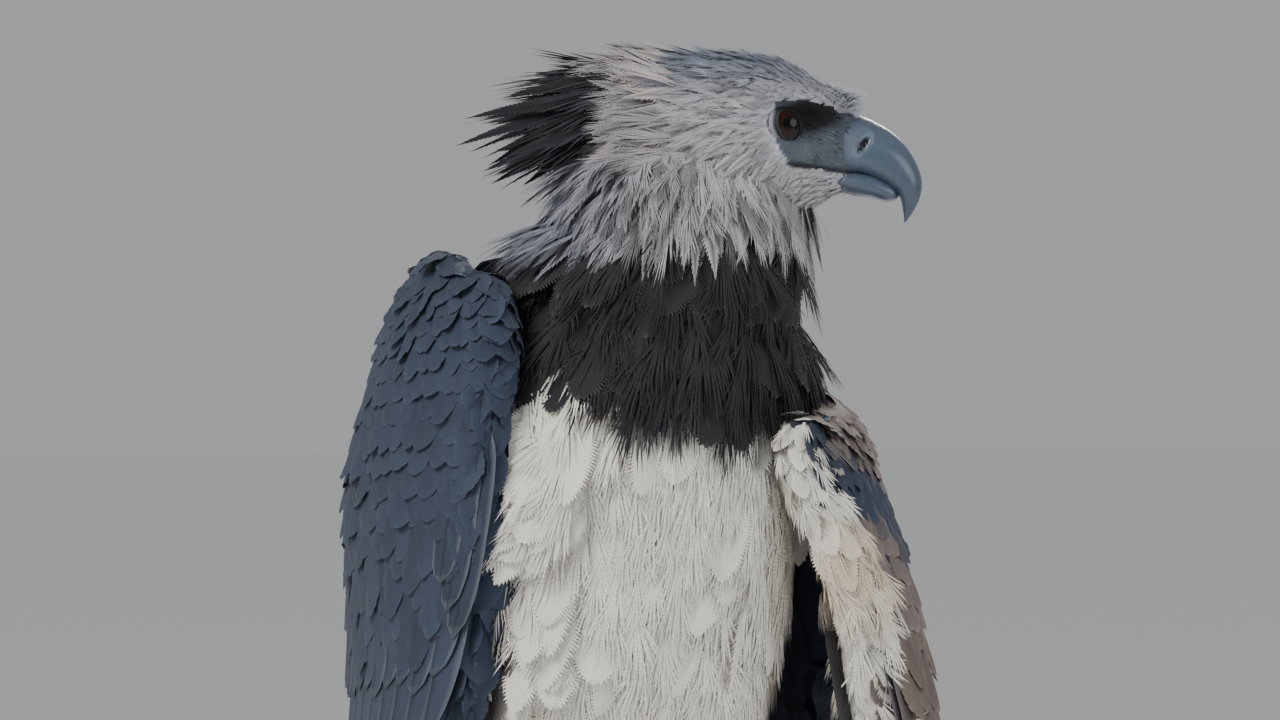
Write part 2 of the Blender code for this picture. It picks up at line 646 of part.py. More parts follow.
def make_tail():
    """Twelve broad feathers folded over each other, with coverts above and below the root."""
    last = Vector(TORSO[0][:3])
    drop = math.radians(TAIL_DROP)
    along = Vector((0, math.cos(drop), -math.sin(drop)))
    above = Vector((0, math.sin(drop), math.cos(drop)))
    base = path_rings(TORSO, 20, 13)[0]
    tangent = (Vector(TORSO[0][:3]) - Vector(TORSO[1][:3])).normalized()
    rings = [[p + tangent * GAP for p in base]]
    for t, half_width, half_depth in ((0.030, 0.040, 0.023), (0.060, 0.040, 0.018), (0.095, 0.038, 0.011)):
        rings.append(oval(last + along * t, Vector((1, 0, 0)), above, half_width, half_depth, 20))
    stub = tube("tail", rings)
    joined = []
    for k in range(RECTRIX_PAIRS):
        for side in (1, -1):
            layer = 0.0066 - 2 * RECTRIX_STEP * k - (RECTRIX_STEP if side < 0 else 0.0)
            turn = math.radians(0.6 + 0.95 * k) * side
            heading = along * math.cos(turn) + Vector((math.sin(turn), 0, 0))
            root = last + along * 0.070 + Vector((side * (0.004 + 0.0048 * k), 0, 0)) + above * layer
            length = TAIL_LENGTH - 0.070 - 0.0035 * k
            spot = blade(root, heading, above, length, RECTRIX_HALF_WIDTH, 4.0)
            joined.append(quill(spot, TAIL_VANE, TAIL_STATIONS))
    for tier, (start, length, count) in enumerate(((0.052, 0.105, 3), (0.026, 0.085, 3))):
        for up in (1, -1):
            if up < 0 and tier == 1:
                continue
            for k in range(count):
                share = (k / (count - 1) - 0.5) * 2
                root = last + along * start + Vector((share * 0.026, 0, 0))
                root += above * up * (0.013 + 0.004 * tier - 0.004 * abs(share))
                heading = (along + above * up * 0.03 + Vector((share * 0.06, 0, 0))).normalized()
                spot = blade(root, heading, above * up, length + CHANCE.uniform(-0.006, 0.006), 0.0165, 3.0)
                joined.append(quill(spot, COVERT, COVERT_STATIONS))
    boolean(stub, joined, "UNION")
    return stub


def mirrored(rows, side):
    return [(r[0] * side, *r[1:]) for r in rows]


def make_thigh(side):
    rings = path_rings(mirrored(THIGH, side), 14, 8)
    return tube("thigh_left" if side > 0 else "thigh_right", rings)


def make_tarsus(side):
    """The bare shank. Down its front the scutes overlap as steps in its surface."""
    rows = mirrored(TARSUS, side)
    rings = path_rings(rows, 10, 41)
    chosen = [(0, 0.0), (3, 0.0)]
    for k in range(SCUTE_COUNT):
        chosen += [(6 + 4 * k, SCUTE_TOP), (9 + 4 * k, SCUTE_EDGE)]
    chosen += [(36, 0.0), (40, 0.0)]
    stepped = []
    for index, rise in chosen:
        ring = rings[index]
        middle = sum(ring, Vector()) / len(ring)
        stepped.append([raised(p, middle, rise) for p in ring])
    return tube("tarsus_left" if side > 0 else "tarsus_right", stepped)


def raised(place, middle, rise):
    """A place of a ring moved outwards by a rise at its front, less at its sides."""
    out = (place - middle).normalized()
    share = min(1.0, max(0.0, (0.25 - out.y) / 0.6))
    return place + out * (rise * share)


def toe_frame(side, heading):
    turn = math.radians(heading)
    ahead = Vector((side * math.sin(turn), -math.cos(turn), 0))
    return ahead, ahead.cross(UP)


def toe_rings(side, toe):
    """Rings of a toe: three swollen pads, lying on the floor."""
    name, heading, length, root, end, claw = toe
    ahead, across = toe_frame(side, heading)
    base = Vector((FOOT_CENTRE[0] * side, FOOT_CENTRE[1], 0))
    rings = []
    for k in range(6):
        t = k / 5
        half = root + (end - root) * t
        pad = 1.0 + 0.10 * math.cos(6 * math.pi * t)
        lift = half * (0.86 + 0.25 * (1 - t) ** 2)
        rings.append(oval(base + ahead * (length * t) + UP * lift, across, UP, half * pad, half * pad, 8))
    return rings


def make_foot(side):
    toes = [tube("toe", toe_rings(side, toe)) for toe in TOES]
    for toe in toes:
        flatten_below(toe, 0.0)
    middle = Vector((FOOT_CENTRE[0] * side, FOOT_CENTRE[1], 0.017))
    palm = sphere("palm", middle, (0.021, 0.023, 0.0195), 10, 7)
    flatten_below(palm, 0.0)
    palm.name = "foot_left" if side > 0 else "foot_right"
    boolean(palm, toes, "UNION")
    return palm


def make_claw(side, toe):
    """A hooked claw from a toe's end down to the floor."""
    name, heading, length, root, end, claw = toe
    ahead, across = toe_frame(side, heading)
    start = Vector((FOOT_CENTRE[0] * side, FOOT_CENTRE[1], 0)) + ahead * (length - 0.002) + UP * (end * 1.05)
    radius = claw / math.radians(118)
    rings = []
    steps = 7
    for k in range(steps):
        t = k / steps
        turn = math.radians(-34 + 118 * t)
        place = start + ahead * (radius * (math.sin(turn) - math.sin(math.radians(-34))))
        place += UP * (radius * (math.cos(turn) - math.cos(math.radians(-34))))
        out = ahead * math.sin(turn) + UP * math.cos(turn)
        half = end * 0.78 * (1 - t) ** 0.8 + 0.0006
        rings.append(oval(place, across, out, half * 0.8, half, 6))
    low = min(p.z for ring in rings for p in ring)
    shift = UP * max(0.0, 0.001 - low)
    turn = math.radians(84)
    tip = start + ahead * (radius * (math.sin(turn) - math.sin(math.radians(-34))))
    tip += UP * (radius * (math.cos(turn) - math.cos(math.radians(-34))))
    side_name = "left" if side > 0 else "right"
    made = tube(f"claw_{side_name}_{name}", [[p + shift for p in ring] for ring in rings], end=tip + shift)
    flatten_below(made, 0.0)
    return made


def ring(name, centre, axis, radius, thickness):
    """A closed ring round an axis."""
    side = axis.cross(UP).normalized()
    up = side.cross(axis).normalized()
    bm = bmesh.new()
    loops = []
    for k in range(10):
        turn = 2 * math.pi * k / 10
        out = side * math.cos(turn) + up * math.sin(turn)
        section = oval(centre + out * radius, out, axis, thickness, thickness * 1.3, 6)
        loops.append([bm.verts.new(p) for p in section])
    for a, b in zip(loops, loops[1:] + loops[:1]):
        for k in range(6):
            bm.faces.new((a[k], a[(k + 1) % 6], b[(k + 1) % 6], b[k]))
    return new_object(name, bm)


def make_head(eyes, bill):
    """Skull and cheeks with lids, brow ridges and the crest, cut for the eyes and the bill."""
    head = head_shell()
    joined = []
    for side in (1, -1):
        facing = (LOOK_LEFT * side + LOOK * EYE_FORWARD).normalized()
        joined.append(ring("lid", eye_centre(side) + facing * LID_RISE, facing, LID_RADIUS, LID_THICKNESS))
        slope = (LOOK - UP * 0.30 - LOOK_LEFT * (side * 0.28)).normalized()
        middle = head_point(BROW[0], side * BROW[1], BROW[2])
        radii = (BROW_SIZE[2], BROW_SIZE[1], BROW_SIZE[0])
        joined.append(sphere("brow", middle, radii, 8, 6, slope))
    for root_along, root_aside, root_height, tip_along, tip_aside, tip_height, half_width in CREST:
        root = head_point(root_along, root_aside, root_height)
        tip = head_point(tip_along, tip_aside, tip_height)
        way = tip - root
        normal = (UP + LOOK_LEFT * (root_aside * 14)).normalized()
        heading = (way.normalized() + normal * 0.10).normalized()
        spot = blade(root, heading, normal, way.length, half_width, 12.0, 0.001)
        joined.append(quill(spot, CREST_VANE, CREST_STATIONS, 0.0011))
    boolean(head, joined, "UNION")
    cut(head, *eyes, *bill)
    return head


def add_ruff(neck):
    """Pointed locks in tiers round the neck, hanging from under the cheeks."""
    rows = smooth_rows(NECK, 41)
    heights = rows[:, 2]

    def skin(turn, height):
        row = [float(np.interp(height, heights, rows[:, k])) for k in range(6)]
        yaw = math.radians(row[5])
        side, front = Vector((math.cos(yaw), math.sin(yaw), 0)), Vector((-math.sin(yaw), math.cos(yaw), 0))
        centre = Vector((row[0], row[1], height))
        out = side * (math.cos(turn) * row[3]) + front * (math.sin(turn) * row[4])
        return centre + out, out.normalized()

    joined = []
    for tier, (height, fall, flare, count) in enumerate(RUFF):
        for k in range(count):
            turn = 2 * math.pi * (k + 0.5 * tier) / count + CHANCE.uniform(-0.04, 0.04)
            length = fall * CHANCE.uniform(0.9, 1.1)
            start, out = skin(turn, height)
            end, out_low = skin(turn, height - length)
            root = start - out * 0.003
            tip = end + out_low * (flare + 0.0012 * (k % 2))
            heading = (tip - root).normalized()
            spot = blade(root, heading, out, (tip - root).length, LOCK_HALF_WIDTH, 6.0, 0.0022)
            joined.append(quill(spot, LOCK, LOCK_STATIONS, 0.0014))
    boolean(neck, joined, "UNION")


def centre_over_origin(objects):
    """Moves the whole model so that the middle of its box stands over the origin."""
    points = np.array([(o.matrix_world @ v.co)[:] for o in objects for v in o.data.vertices])
    low, high = points.min(0), points.max(0)
    shift = Vector((-(low[0] + high[0]) / 2, -(low[1] + high[1]) / 2, -low[2]))
    for obj in objects:
        for v in obj.data.vertices:
            v.co += shift
    print("moved by", [round(x, 5) for x in shift])


def build():
    for obj in list(bpy.data.objects):
        bpy.data.objects.remove(obj)

    torso = paint(make_torso(), WHITE)
    thighs = [paint(make_thigh(side), WHITE) for side in (1, -1)]
    wings = [Wing(WING_LEFT, 1), Wing(WING_RIGHT, -1)]
    arms = [paint(make_arm(wing), BLACK) for wing in wings]
    for arm in arms:
        cut(arm, torso)
    cut(torso, *thighs)
    parts = [torso, *thighs, *arms]
    for wing in wings:
        parts += [paint(make_hand(wing), BLACK), paint(make_secondaries(wing), BLACK)]
    parts.append(paint(make_tail(), BLACK))

    eyes = [paint(make_eye(side), IRIS) for side in (1, -1)]
    upper = paint(make_bill_upper(), BILL)
    lower = paint(make_bill_lower(), BILL)
    cut(lower, upper)
    add_nostrils(upper)
    head = paint(make_head(eyes, [upper, lower]), GREY)
    neck = paint(make_neck(), GREY)
    add_ruff(neck)
    cut(neck, head, lower, torso)
    parts += [neck, head, upper, lower, *eyes]

    for side, thigh in zip((1, -1), thighs):
        tarsus = paint(make_tarsus(side), YELLOW)
        cut(thigh, tarsus)
        foot = paint(make_foot(side), YELLOW)
        claws = [paint(make_claw(side, toe), CLAW) for toe in TOES]
        cut(foot, tarsus, *claws)
        parts += [tarsus, foot, *claws]

    centre_over_origin(parts)
    home = bpy.data.collections.new("harpy_eagle")
    bpy.context.scene.collection.children.link(home)
    for obj in parts:
        bpy.context.scene.collection.objects.unlink(obj)
        home.objects.link(obj)


build()
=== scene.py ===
# %% [markdown]
# This lesson dresses a life-size harpy eagle. The imported solids give the size and the pose;
# here one smooth skin takes the place of the flesh, and thousands of small mesh feathers are
# planted over it. First the imported model is loaded.

# %% Load the imported model
import math

import bmesh
import bpy
import numpy as np
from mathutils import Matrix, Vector
from mathutils.bvhtree import BVHTree
from mathutils.kdtree import KDTree


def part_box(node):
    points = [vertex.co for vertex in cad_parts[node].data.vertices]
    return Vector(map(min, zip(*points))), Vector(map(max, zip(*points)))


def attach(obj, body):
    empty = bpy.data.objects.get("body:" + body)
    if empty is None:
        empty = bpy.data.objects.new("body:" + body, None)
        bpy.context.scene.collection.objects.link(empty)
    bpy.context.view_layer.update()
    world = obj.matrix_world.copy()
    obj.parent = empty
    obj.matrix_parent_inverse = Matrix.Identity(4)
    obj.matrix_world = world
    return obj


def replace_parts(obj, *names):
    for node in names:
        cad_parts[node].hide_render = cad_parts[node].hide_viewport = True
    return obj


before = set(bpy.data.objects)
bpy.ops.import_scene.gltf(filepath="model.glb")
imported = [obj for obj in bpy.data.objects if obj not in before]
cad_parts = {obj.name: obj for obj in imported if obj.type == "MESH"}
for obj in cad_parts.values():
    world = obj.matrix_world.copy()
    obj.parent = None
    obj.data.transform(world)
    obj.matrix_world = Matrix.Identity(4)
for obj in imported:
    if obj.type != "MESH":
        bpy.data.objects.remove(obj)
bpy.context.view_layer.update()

# %% [markdown]
# The sizes below are the same ones that the solids were made from. The bird's chest faces -Y,
# its left is +X, and the head looks along LOOK, turned to the bird's left.

# %% Sizes of the bird
HEAD_YAW = 72.0
HEAD_DEPTH = -0.040
LOOK = np.array([math.sin(math.radians(HEAD_YAW)), -math.cos(math.radians(HEAD_YAW)), 0.0])
LOOK_LEFT = np.array([-LOOK[1], LOOK[0], 0.0])
UP = np.array([0.0, 0.0, 1.0])

TORSO = [
    (0.000, 0.112, 0.292, 0.040, 0.026, 0), (0.000, 0.086, 0.325, 0.056, 0.042, 0),
    (0.000, 0.056, 0.370, 0.074, 0.060, 0), (0.000, 0.028, 0.425, 0.087, 0.076, 0),
    (0.001, 0.003, 0.490, 0.089, 0.086, 0), (0.004, -0.018, 0.550, 0.089, 0.090, 0),
    (0.008, -0.032, 0.605, 0.089, 0.090, 0), (0.012, -0.041, 0.650, 0.086, 0.084, 0),
    (0.017, -0.046, 0.678, 0.076, 0.073, 0),
]
NECK = [
    (0.012, -0.041, 0.650, 0.086, 0.084, 0), (0.017, -0.046, 0.678, 0.076, 0.073, 0),
    (0.023, -0.049, 0.697, 0.067, 0.068, 30), (0.027, -0.051, 0.716, 0.060, 0.067, 72),
    (0.028, -0.052, 0.735, 0.052, 0.063, 72), (0.029, -0.052, 0.750, 0.038, 0.048, 72),
]
HEAD = [
    (0.001, 0.768, 0.016, 0.017), (0.008, 0.766, 0.027, 0.027), (0.022, 0.7600, 0.0375, 0.036),
    (0.043, 0.7540, 0.0455, 0.0415), (0.067, 0.7520, 0.0480, 0.0425), (0.090, 0.7530, 0.0435, 0.0385),
    (0.107, 0.7530, 0.0345, 0.0300), (0.120, 0.7520, 0.0262, 0.0215), (0.1305, 0.7510, 0.0165, 0.0130),
]
THIGH = [
    (0.044, 0.010, 0.385, 0.035, 0.054, 0), (0.051, -0.022, 0.330, 0.038, 0.058, 0),
    (0.060, -0.032, 0.280, 0.038, 0.054, 0), (0.067, -0.020, 0.225, 0.034, 0.044, 0),
    (0.070, 0.004, 0.170, 0.026, 0.033, 0), (0.072, 0.024, 0.128, 0.021, 0.025, 0),
]
EYE_ALONG, EYE_HEIGHT, EYE_ASIDE, EYE_FORWARD = 0.0955, 0.7635, 0.0270, 0.42
WINGS = {
    -1: [
        (0.00, -0.078, -0.068, 0.694, -0.085, 0.012, 0.694, 0.010),
        (0.08, -0.077, -0.098, 0.662, -0.091, 0.054, 0.650, 0.019),
        (0.20, -0.081, -0.098, 0.605, -0.099, 0.082, 0.582, 0.025),
        (0.35, -0.084, -0.084, 0.535, -0.096, 0.102, 0.507, 0.024),
        (0.50, -0.093, -0.058, 0.462, -0.097, 0.126, 0.432, 0.020),
        (0.65, -0.104, -0.018, 0.385, -0.100, 0.152, 0.352, 0.016),
        (0.80, -0.108, 0.042, 0.300, -0.103, 0.174, 0.274, 0.011),
        (0.92, -0.102, 0.112, 0.220, -0.103, 0.190, 0.202, 0.007),
        (1.00, -0.100, 0.170, 0.160, -0.102, 0.196, 0.152, 0.000),
    ],
    1: [
        (0.00, 0.074, -0.102, 0.622, 0.092, -0.006, 0.632, 0.012),
        (0.08, 0.066, -0.114, 0.598, 0.106, 0.058, 0.600, 0.034),
        (0.20, 0.090, -0.104, 0.550, 0.114, 0.098, 0.545, 0.042),
        (0.35, 0.123, -0.074, 0.480, 0.127, 0.122, 0.475, 0.041),
        (0.50, 0.149, -0.036, 0.405, 0.141, 0.144, 0.400, 0.035),
        (0.65, 0.168, 0.006, 0.325, 0.154, 0.164, 0.325, 0.026),
        (0.80, 0.182, 0.056, 0.250, 0.166, 0.182, 0.250, 0.015),
        (0.92, 0.190, 0.116, 0.175, 0.180, 0.194, 0.180, 0.007),
        (1.00, 0.194, 0.170, 0.125, 0.191, 0.196, 0.130, 0.000),
    ],
}
SIDE_NAME = {1: "left", -1: "right"}


def head_point(along, aside, height):
    """A place on the head: along the look, to the bird's left of it, and its height."""
    return LOOK * along + LOOK_LEFT * (HEAD_DEPTH + aside) + UP * height


low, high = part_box("eye_right")
SHIFT = (np.array(low) + np.array(high)) / 2 - head_point(EYE_ALONG, -EYE_ASIDE, EYE_HEIGHT)
print("the packed model stands moved by", SHIFT.round(4))

# %% [markdown]
# The camera stands where the photographer stood: a little to the bird's right, level with its
# neck, far off with a long lens, so that the head shows in profile and the chest nearly square.

# %% Camera
CAMERA_TURN = math.radians(-15.0)
CAMERA_RIGHT = np.array([math.cos(CAMERA_TURN), math.sin(CAMERA_TURN), 0.0])
CAMERA_BACK = np.array([math.sin(CAMERA_TURN), -math.cos(CAMERA_TURN), 0.0])
aim = CAMERA_RIGHT * 0.018 + CAMERA_BACK * 0.03 + UP * 0.645 + SHIFT
bpy.ops.object.select_all(action="DESELECT")
bpy.ops.object.camera_add(location=Vector(aim + CAMERA_BACK * 2.4))
camera = bpy.context.object
camera.rotation_euler = (math.radians(90.0), 0.0, CAMERA_TURN)
camera.data.sensor_width = 36.0
camera.data.lens = 135.0
bpy.context.scene.camera = camera
print("camera at", [round(x, 3) for x in camera.location])

# %% [markdown]
# Soft light as in a studio: a broad key from high on the left, a weaker fill from the right,
# and a rim light from behind that draws the edges of the dark feathers.

# %% Light, floor and backdrop colour
def area_light(name, turn, height, distance, size, watts, tint):
    """A round lamp that looks at the bird's chest from a compass turn and a height."""
    place = Vector((math.sin(turn) * distance, -math.cos(turn) * distance, height))
    bpy.ops.object.light_add(type="AREA", location=place)
    lamp = bpy.context.object
    lamp.name = name
    lamp.data.shape = "DISK"
    lamp.data.size = size
    lamp.data.energy = watts
    lamp.data.color = tint
    lamp.rotation_euler = (place - Vector((0, 0, 0.55))).to_track_quat("Z", "Y").to_euler()
    return lamp


area_light("key_light", math.radians(-50), 1.9, 1.9, 1.1, 42.0, (1.0, 0.98, 0.95))
area_light("fill_light", math.radians(48), 1.1, 2.3, 1.6, 17.0, (0.93, 0.96, 1.0))
area_light("rim_light", math.radians(150), 1.7, 1.9, 0.9, 24.0, (1.0, 0.97, 0.93))
world = bpy.data.worlds.new("pale_room")
world.use_nodes = True
world.node_tree.nodes["Background"].inputs["Color"].default_value = (0.62, 0.63, 0.64, 1.0)
world.node_tree.nodes["Background"].inputs["Strength"].default_value = 0.62
bpy.context.scene.world = world

bpy.ops.mesh.primitive_plane_add(size=60.0, location=(0, 0, 0))
floor = bpy.context.object
floor.name = "floor"
pale = bpy.data.materials.new("pale_floor")
pale.use_nodes = True
pale.node_tree.nodes["Principled BSDF"].inputs["Base Color"].default_value = (0.97, 0.97, 0.96, 1.0)
pale.node_tree.nodes["Principled BSDF"].inputs["Roughness"].default_value = 0.85
floor.data.materials.append(pale)
print("lights and floor made")

# %% [markdown]
# Colours are picked as they look on a screen and turned into the linear numbers that a shader
# expects. Materials are written as sums: a small class wraps a socket, so that an expression
# in Python adds the Math nodes by itself, and a colour is scaled by a Vector Math node.

# %% Colours and shader sums
def seen(red, green, blue):
    """A colour as seen on a screen, 0 to 255, as linear light."""
    c = np.array([red, green, blue]) / 255.0
    return np.where(c <= 0.04045, c / 12.92, ((c + 0.055) / 1.055) ** 2.4)


class Dye:
    """One value or colour inside a material, which can be added, multiplied and scaled."""

    def __init__(self, tree, socket):
        self.tree, self.socket = tree, socket

    def node(self, kind, settings=None, values=None, output=0):
        """Any other node: its settings are set first, then its sockets get values or links."""
        made = self.tree.nodes.new(kind)
        for key, value in (settings or {}).items():
            if key == "stops":
                while len(made.color_ramp.elements) < len(value):
                    made.color_ramp.elements.new(0.5)
                for element, (place, colour) in zip(made.color_ramp.elements, value):
                    element.position = place
                    element.color = (*colour, 1.0)
            else:
                setattr(made, key, value)
        for key, value in (values or {}).items():
            if isinstance(value, Dye):
                self.tree.links.new(value.socket, made.inputs[key])
            else:
                made.inputs[key].default_value = value
        return Dye(self.tree, made.outputs[output])

    def math(self, operation, other, swap=False):
        first, second = (other, self) if swap else (self, other)
        return self.node("ShaderNodeMath", {"operation": operation}, {0: first, 1: second})

    def __add__(self, other):
        return self.math("ADD", other)

    __radd__ = __add__

    def __mul__(self, other):
        return self.math("MULTIPLY", other)

    __rmul__ = __mul__

    def __sub__(self, other):
        return self.math("SUBTRACT", other)

    def __rsub__(self, other):
        return self.math("SUBTRACT", other, swap=True)

    def __truediv__(self, other):
        return self.math("DIVIDE", other)

    def sine(self):
        return self.math("SINE", 0.0)

    def absolute(self):
        return self.math("ABSOLUTE", 0.0)

    def clamped(self):
        return self.node("ShaderNodeClamp", {}, {"Value": self})

    def scaled(self, value):
        """This colour made lighter or darker by a value."""
        grey = self.node("ShaderNodeCombineXYZ", {}, {0: value, 1: value, 2: value})
        return self.node("ShaderNodeVectorMath", {"operation": "MULTIPLY"}, {0: self, 1: grey})


def material(name, roughness, specular=0.5, sheen=0.0, coat=0.0):
    """A new material; returns it, its shader and a first Dye to start expressions from."""
    made = bpy.data.materials.new(name)
    made.use_nodes = True
    tree = made.node_tree
    shader = tree.nodes["Principled BSDF"]
    shader.inputs["Roughness"].default_value = roughness
    shader.inputs["Specular IOR Level"].default_value = specular
    shader.inputs["Sheen Weight"].default_value = sheen
    shader.inputs["Coat Weight"].default_value = coat
    coordinates = tree.nodes.new("ShaderNodeTexCoord")
    return made, shader, Dye(tree, coordinates.outputs["Object"])


def feed(shader, socket, dye):
    dye.tree.links.new(dye.socket, shader.inputs[socket])


def noise(place, scale, detail=3.0):
    return place.node("ShaderNodeTexNoise", {}, {"Vector": place, "Scale": scale, "Detail": detail}, "Fac")


def own_tone(place):
    """The colours that a mesh carries in its attribute Tone."""
    return place.node("ShaderNodeAttribute", {"attribute_name": "Tone"}, {}, "Color")


def bump(place, strength, depth, height):
    return place.node("ShaderNodeBump", {}, {"Strength": strength, "Distance": depth, "Height": height})


def write_tone(mesh, tones):
    """Keep one colour for each vertex of a mesh in its attribute Tone."""
    layer = mesh.attributes.new("Tone", "FLOAT_COLOR", "POINT")
    layer.data.foreach_set("color", np.hstack([tones, np.ones((len(tones), 1))]).astype(np.float32).ravel())


print("a mid grey is", seen(128, 128, 128).round(3))

# %% [markdown]
# A feather's material takes its colour from the mesh, where each feather's own markings are
# kept as the attribute Tone, and adds what is too fine to model: the barbs, the thin parallel
# branches that slant from the shaft to the edge. They read the map Vane, across and along.

# %% Feather material
def feather_finish(name, barbs, slant, depth, roughness, sheen):
    made, shader, place = material(name, roughness, specular=0.25, sheen=sheen)
    vane = place.node("ShaderNodeUVMap", {"uv_map": "Vane"})
    across = place.node("ShaderNodeSeparateXYZ", {}, {0: vane}, "X")
    along = place.node("ShaderNodeSeparateXYZ", {}, {0: vane}, "Y")
    cloud = noise(place, 140.0)
    from_shaft = (across * 2.0 - 1.0).absolute()
    lines = ((along - from_shaft * slant) * (barbs * 6.2832) + cloud * 5.0).sine()
    patch = noise(place, 38.0, 4.0)
    shade = lines * 0.055 + (patch - 0.5) * 0.34 + (cloud - 0.5) * 0.22 + 1.0
    feed(shader, "Base Color", own_tone(place).scaled(shade))
    feed(shader, "Normal", bump(place, 0.35, depth, lines + cloud * 0.8))
    return made


SOFT_FEATHER = feather_finish("soft_feather", 22.0, 0.35, 0.0005, 0.85, 0.05)
FIRM_FEATHER = feather_finish("firm_feather", 70.0, 0.10, 0.0005, 0.62, 0.06)
print("feather materials ready")

# %% [markdown]
# Every form of the body is a tube through oval sections. The same function gives the places
# for the skin and for the roots of the feathers, so that both follow one shape.

# %% Sections of the body
def smooth_rows(rows, count):
    """Rows of numbers read off a smooth curve through the given rows."""
    rows = np.array(rows, float)
    padded = np.vstack([2 * rows[0] - rows[1], rows, 2 * rows[-1] - rows[-2]])
    out = []
    for t in np.linspace(0, len(rows) - 1, count):
        i = min(int(t), len(rows) - 2)
        f = t - i
        a, b, c, d = padded[i : i + 4]
        square, cube = 2 * a - 5 * b + 4 * c - d, 3 * b - a - 3 * c + d
        out.append(0.5 * (2 * b + (c - a) * f + square * f**2 + cube * f**3))
    return np.array(out)


def unit(vectors):
    return vectors / np.maximum(np.linalg.norm(vectors, axis=-1, keepdims=True), 1e-9)


AROUND = 64


def turns(count=AROUND):
    """The angles of so many even steps once round."""
    return np.linspace(0, 2 * np.pi, count, endpoint=False)


def power(values, exponent):
    """A power that keeps the sign, which makes an oval boxier or leaner."""
    return np.sign(values) * np.abs(values) ** exponent


def read_out(mesh, what):
    """One row of three numbers for each vertex: its place ("co") or its normal."""
    values = np.empty(len(mesh.vertices) * 3)
    mesh.vertices.foreach_get(what, values)
    return values.reshape(-1, 3)


def body_sections(rows, count, inset=0.0):
    """Oval sections of the torso, neck or a thigh: an array of count x AROUND places."""
    rows = smooth_rows(rows, count)
    centre = rows[:, :3]
    tangent = unit(np.gradient(centre, axis=0))
    yaw = np.radians(rows[:, 5])
    side = np.stack([np.cos(yaw), np.sin(yaw), np.zeros(count)], 1)
    front = unit(np.cross(side, tangent))
    side = unit(np.cross(tangent, front))
    turn = turns()
    wide = (rows[:, 3] - inset)[:, None, None] * np.cos(turn)[None, :, None] * side[:, None, :]
    joints_and_under_shade = (rows[:, 4] - inset)[:, None, None] * np.sin(turn)[None, :, None] * front[:, None, :]
    return centre[:, None, :] + wide + joints_and_under_shade + SHIFT


def thigh_sections(side, inset):
    return body_sections([(r[0] * side, *r[1:]) for r in THIGH], 40, inset)


def head_sections(rows, count, inset=0.0):
    """Oval sections of the head from nape to bill, fuller over the brow than a plain oval."""
    turn = turns()
    places = []
    for along, height, half_height, half_width in smooth_rows(rows, count):
        wide = (half_width - inset) * power(np.cos(turn), 0.92)
        tall = (half_height - inset) * np.sin(turn)
        places.append(head_point(along, 0, height) + wide[:, None] * LOOK_LEFT + tall[:, None] * UP)
    return np.array(places) + SHIFT


def form(name, sections):
    """A closed tube: a sphere's rings are set to the sections, its poles to their ends."""
    count = len(sections)
    bpy.ops.object.select_all(action="DESELECT")
    bpy.ops.mesh.primitive_uv_sphere_add(segments=AROUND, ring_count=count + 1, radius=1.0)
    made = bpy.context.object
    made.name = name
    co = read_out(made.data, "co")
    ring = np.rint(np.arccos(np.clip(-co[:, 2], -1, 1)) / np.pi * (count + 1)).astype(int)
    step = np.rint(np.arctan2(co[:, 1], co[:, 0]) / (2 * np.pi) * AROUND).astype(int) % AROUND
    out = np.empty_like(co)
    body = (ring > 0) & (ring <= count)
    out[body] = sections[ring[body] - 1, step[body]]
    out[ring == 0] = sections[0].mean(0)
    out[ring == count + 1] = sections[-1].mean(0)
    made.data.vertices.foreach_set("co", out.ravel())
    made.data.update()
    bm = bmesh.new()
    bm.from_mesh(made.data)
    bmesh.ops.recalc_face_normals(bm, faces=bm.faces)
    if bm.calc_volume(signed=True) < 0:
        bmesh.ops.reverse_faces(bm, faces=bm.faces)
    bm.to_mesh(made.data)
    bm.free()
    bpy.ops.object.shade_smooth()
    return made


torso_rings = body_sections(TORSO, 60)
neck_rings = body_sections(NECK, 34)
print("torso and neck sections:", torso_rings.shape, neck_rings.shape)

# %% [markdown]
# A folded wing is one curved sheet. Each feather of it lies at a share u from the front edge
# to the rear one, at a share v from wrist to tip, and at a height n above the sheet.

# %% The sheet of a wing
class WingSheet:
    def __init__(self, rows, side):
        self.side = side
        self.rows = smooth_rows([r[1:] for r in rows], 81)
        self.places = np.interp(np.linspace(0, len(rows) - 1, 81), range(len(rows)), [r[0] for r in rows])

    def flat(self, u, v):
        row = [np.interp(v, self.places, self.rows[:, k]) for k in range(7)]
        front, rear = np.stack(row[:3], -1), np.stack(row[3:6], -1)
        swell = row[6] * 4 * u * (1 - u)
        out = front + (rear - front) * np.asarray(u)[..., None]
        out[..., 0] += self.side * swell
        return out

    def normal(self, u, v):
        e = 0.01
        along_u = self.flat(u + e, v) - self.flat(u - e, v)
        along_v = self.flat(u, np.minimum(v + e, 1.0)) - self.flat(u, np.maximum(v - e, 0.0))
        n = unit(np.cross(along_u, along_v))
        return np.where((n[..., 0] * self.side < 0)[..., None], -n, n)

    def point(self, u, v, n=0.0):
        u, v, n = np.broadcast_arrays(np.asarray(u, float), np.asarray(v, float), np.asarray(n, float))
        return self.flat(u, v) + self.normal(u, v) * n[..., None] + SHIFT

    def chord(self, v):
        return np.linalg.norm(self.flat(np.ones_like(v), v) - self.flat(np.zeros_like(v), v), axis=-1)


SHEETS = {side: WingSheet(rows, side) for side, rows in WINGS.items()}


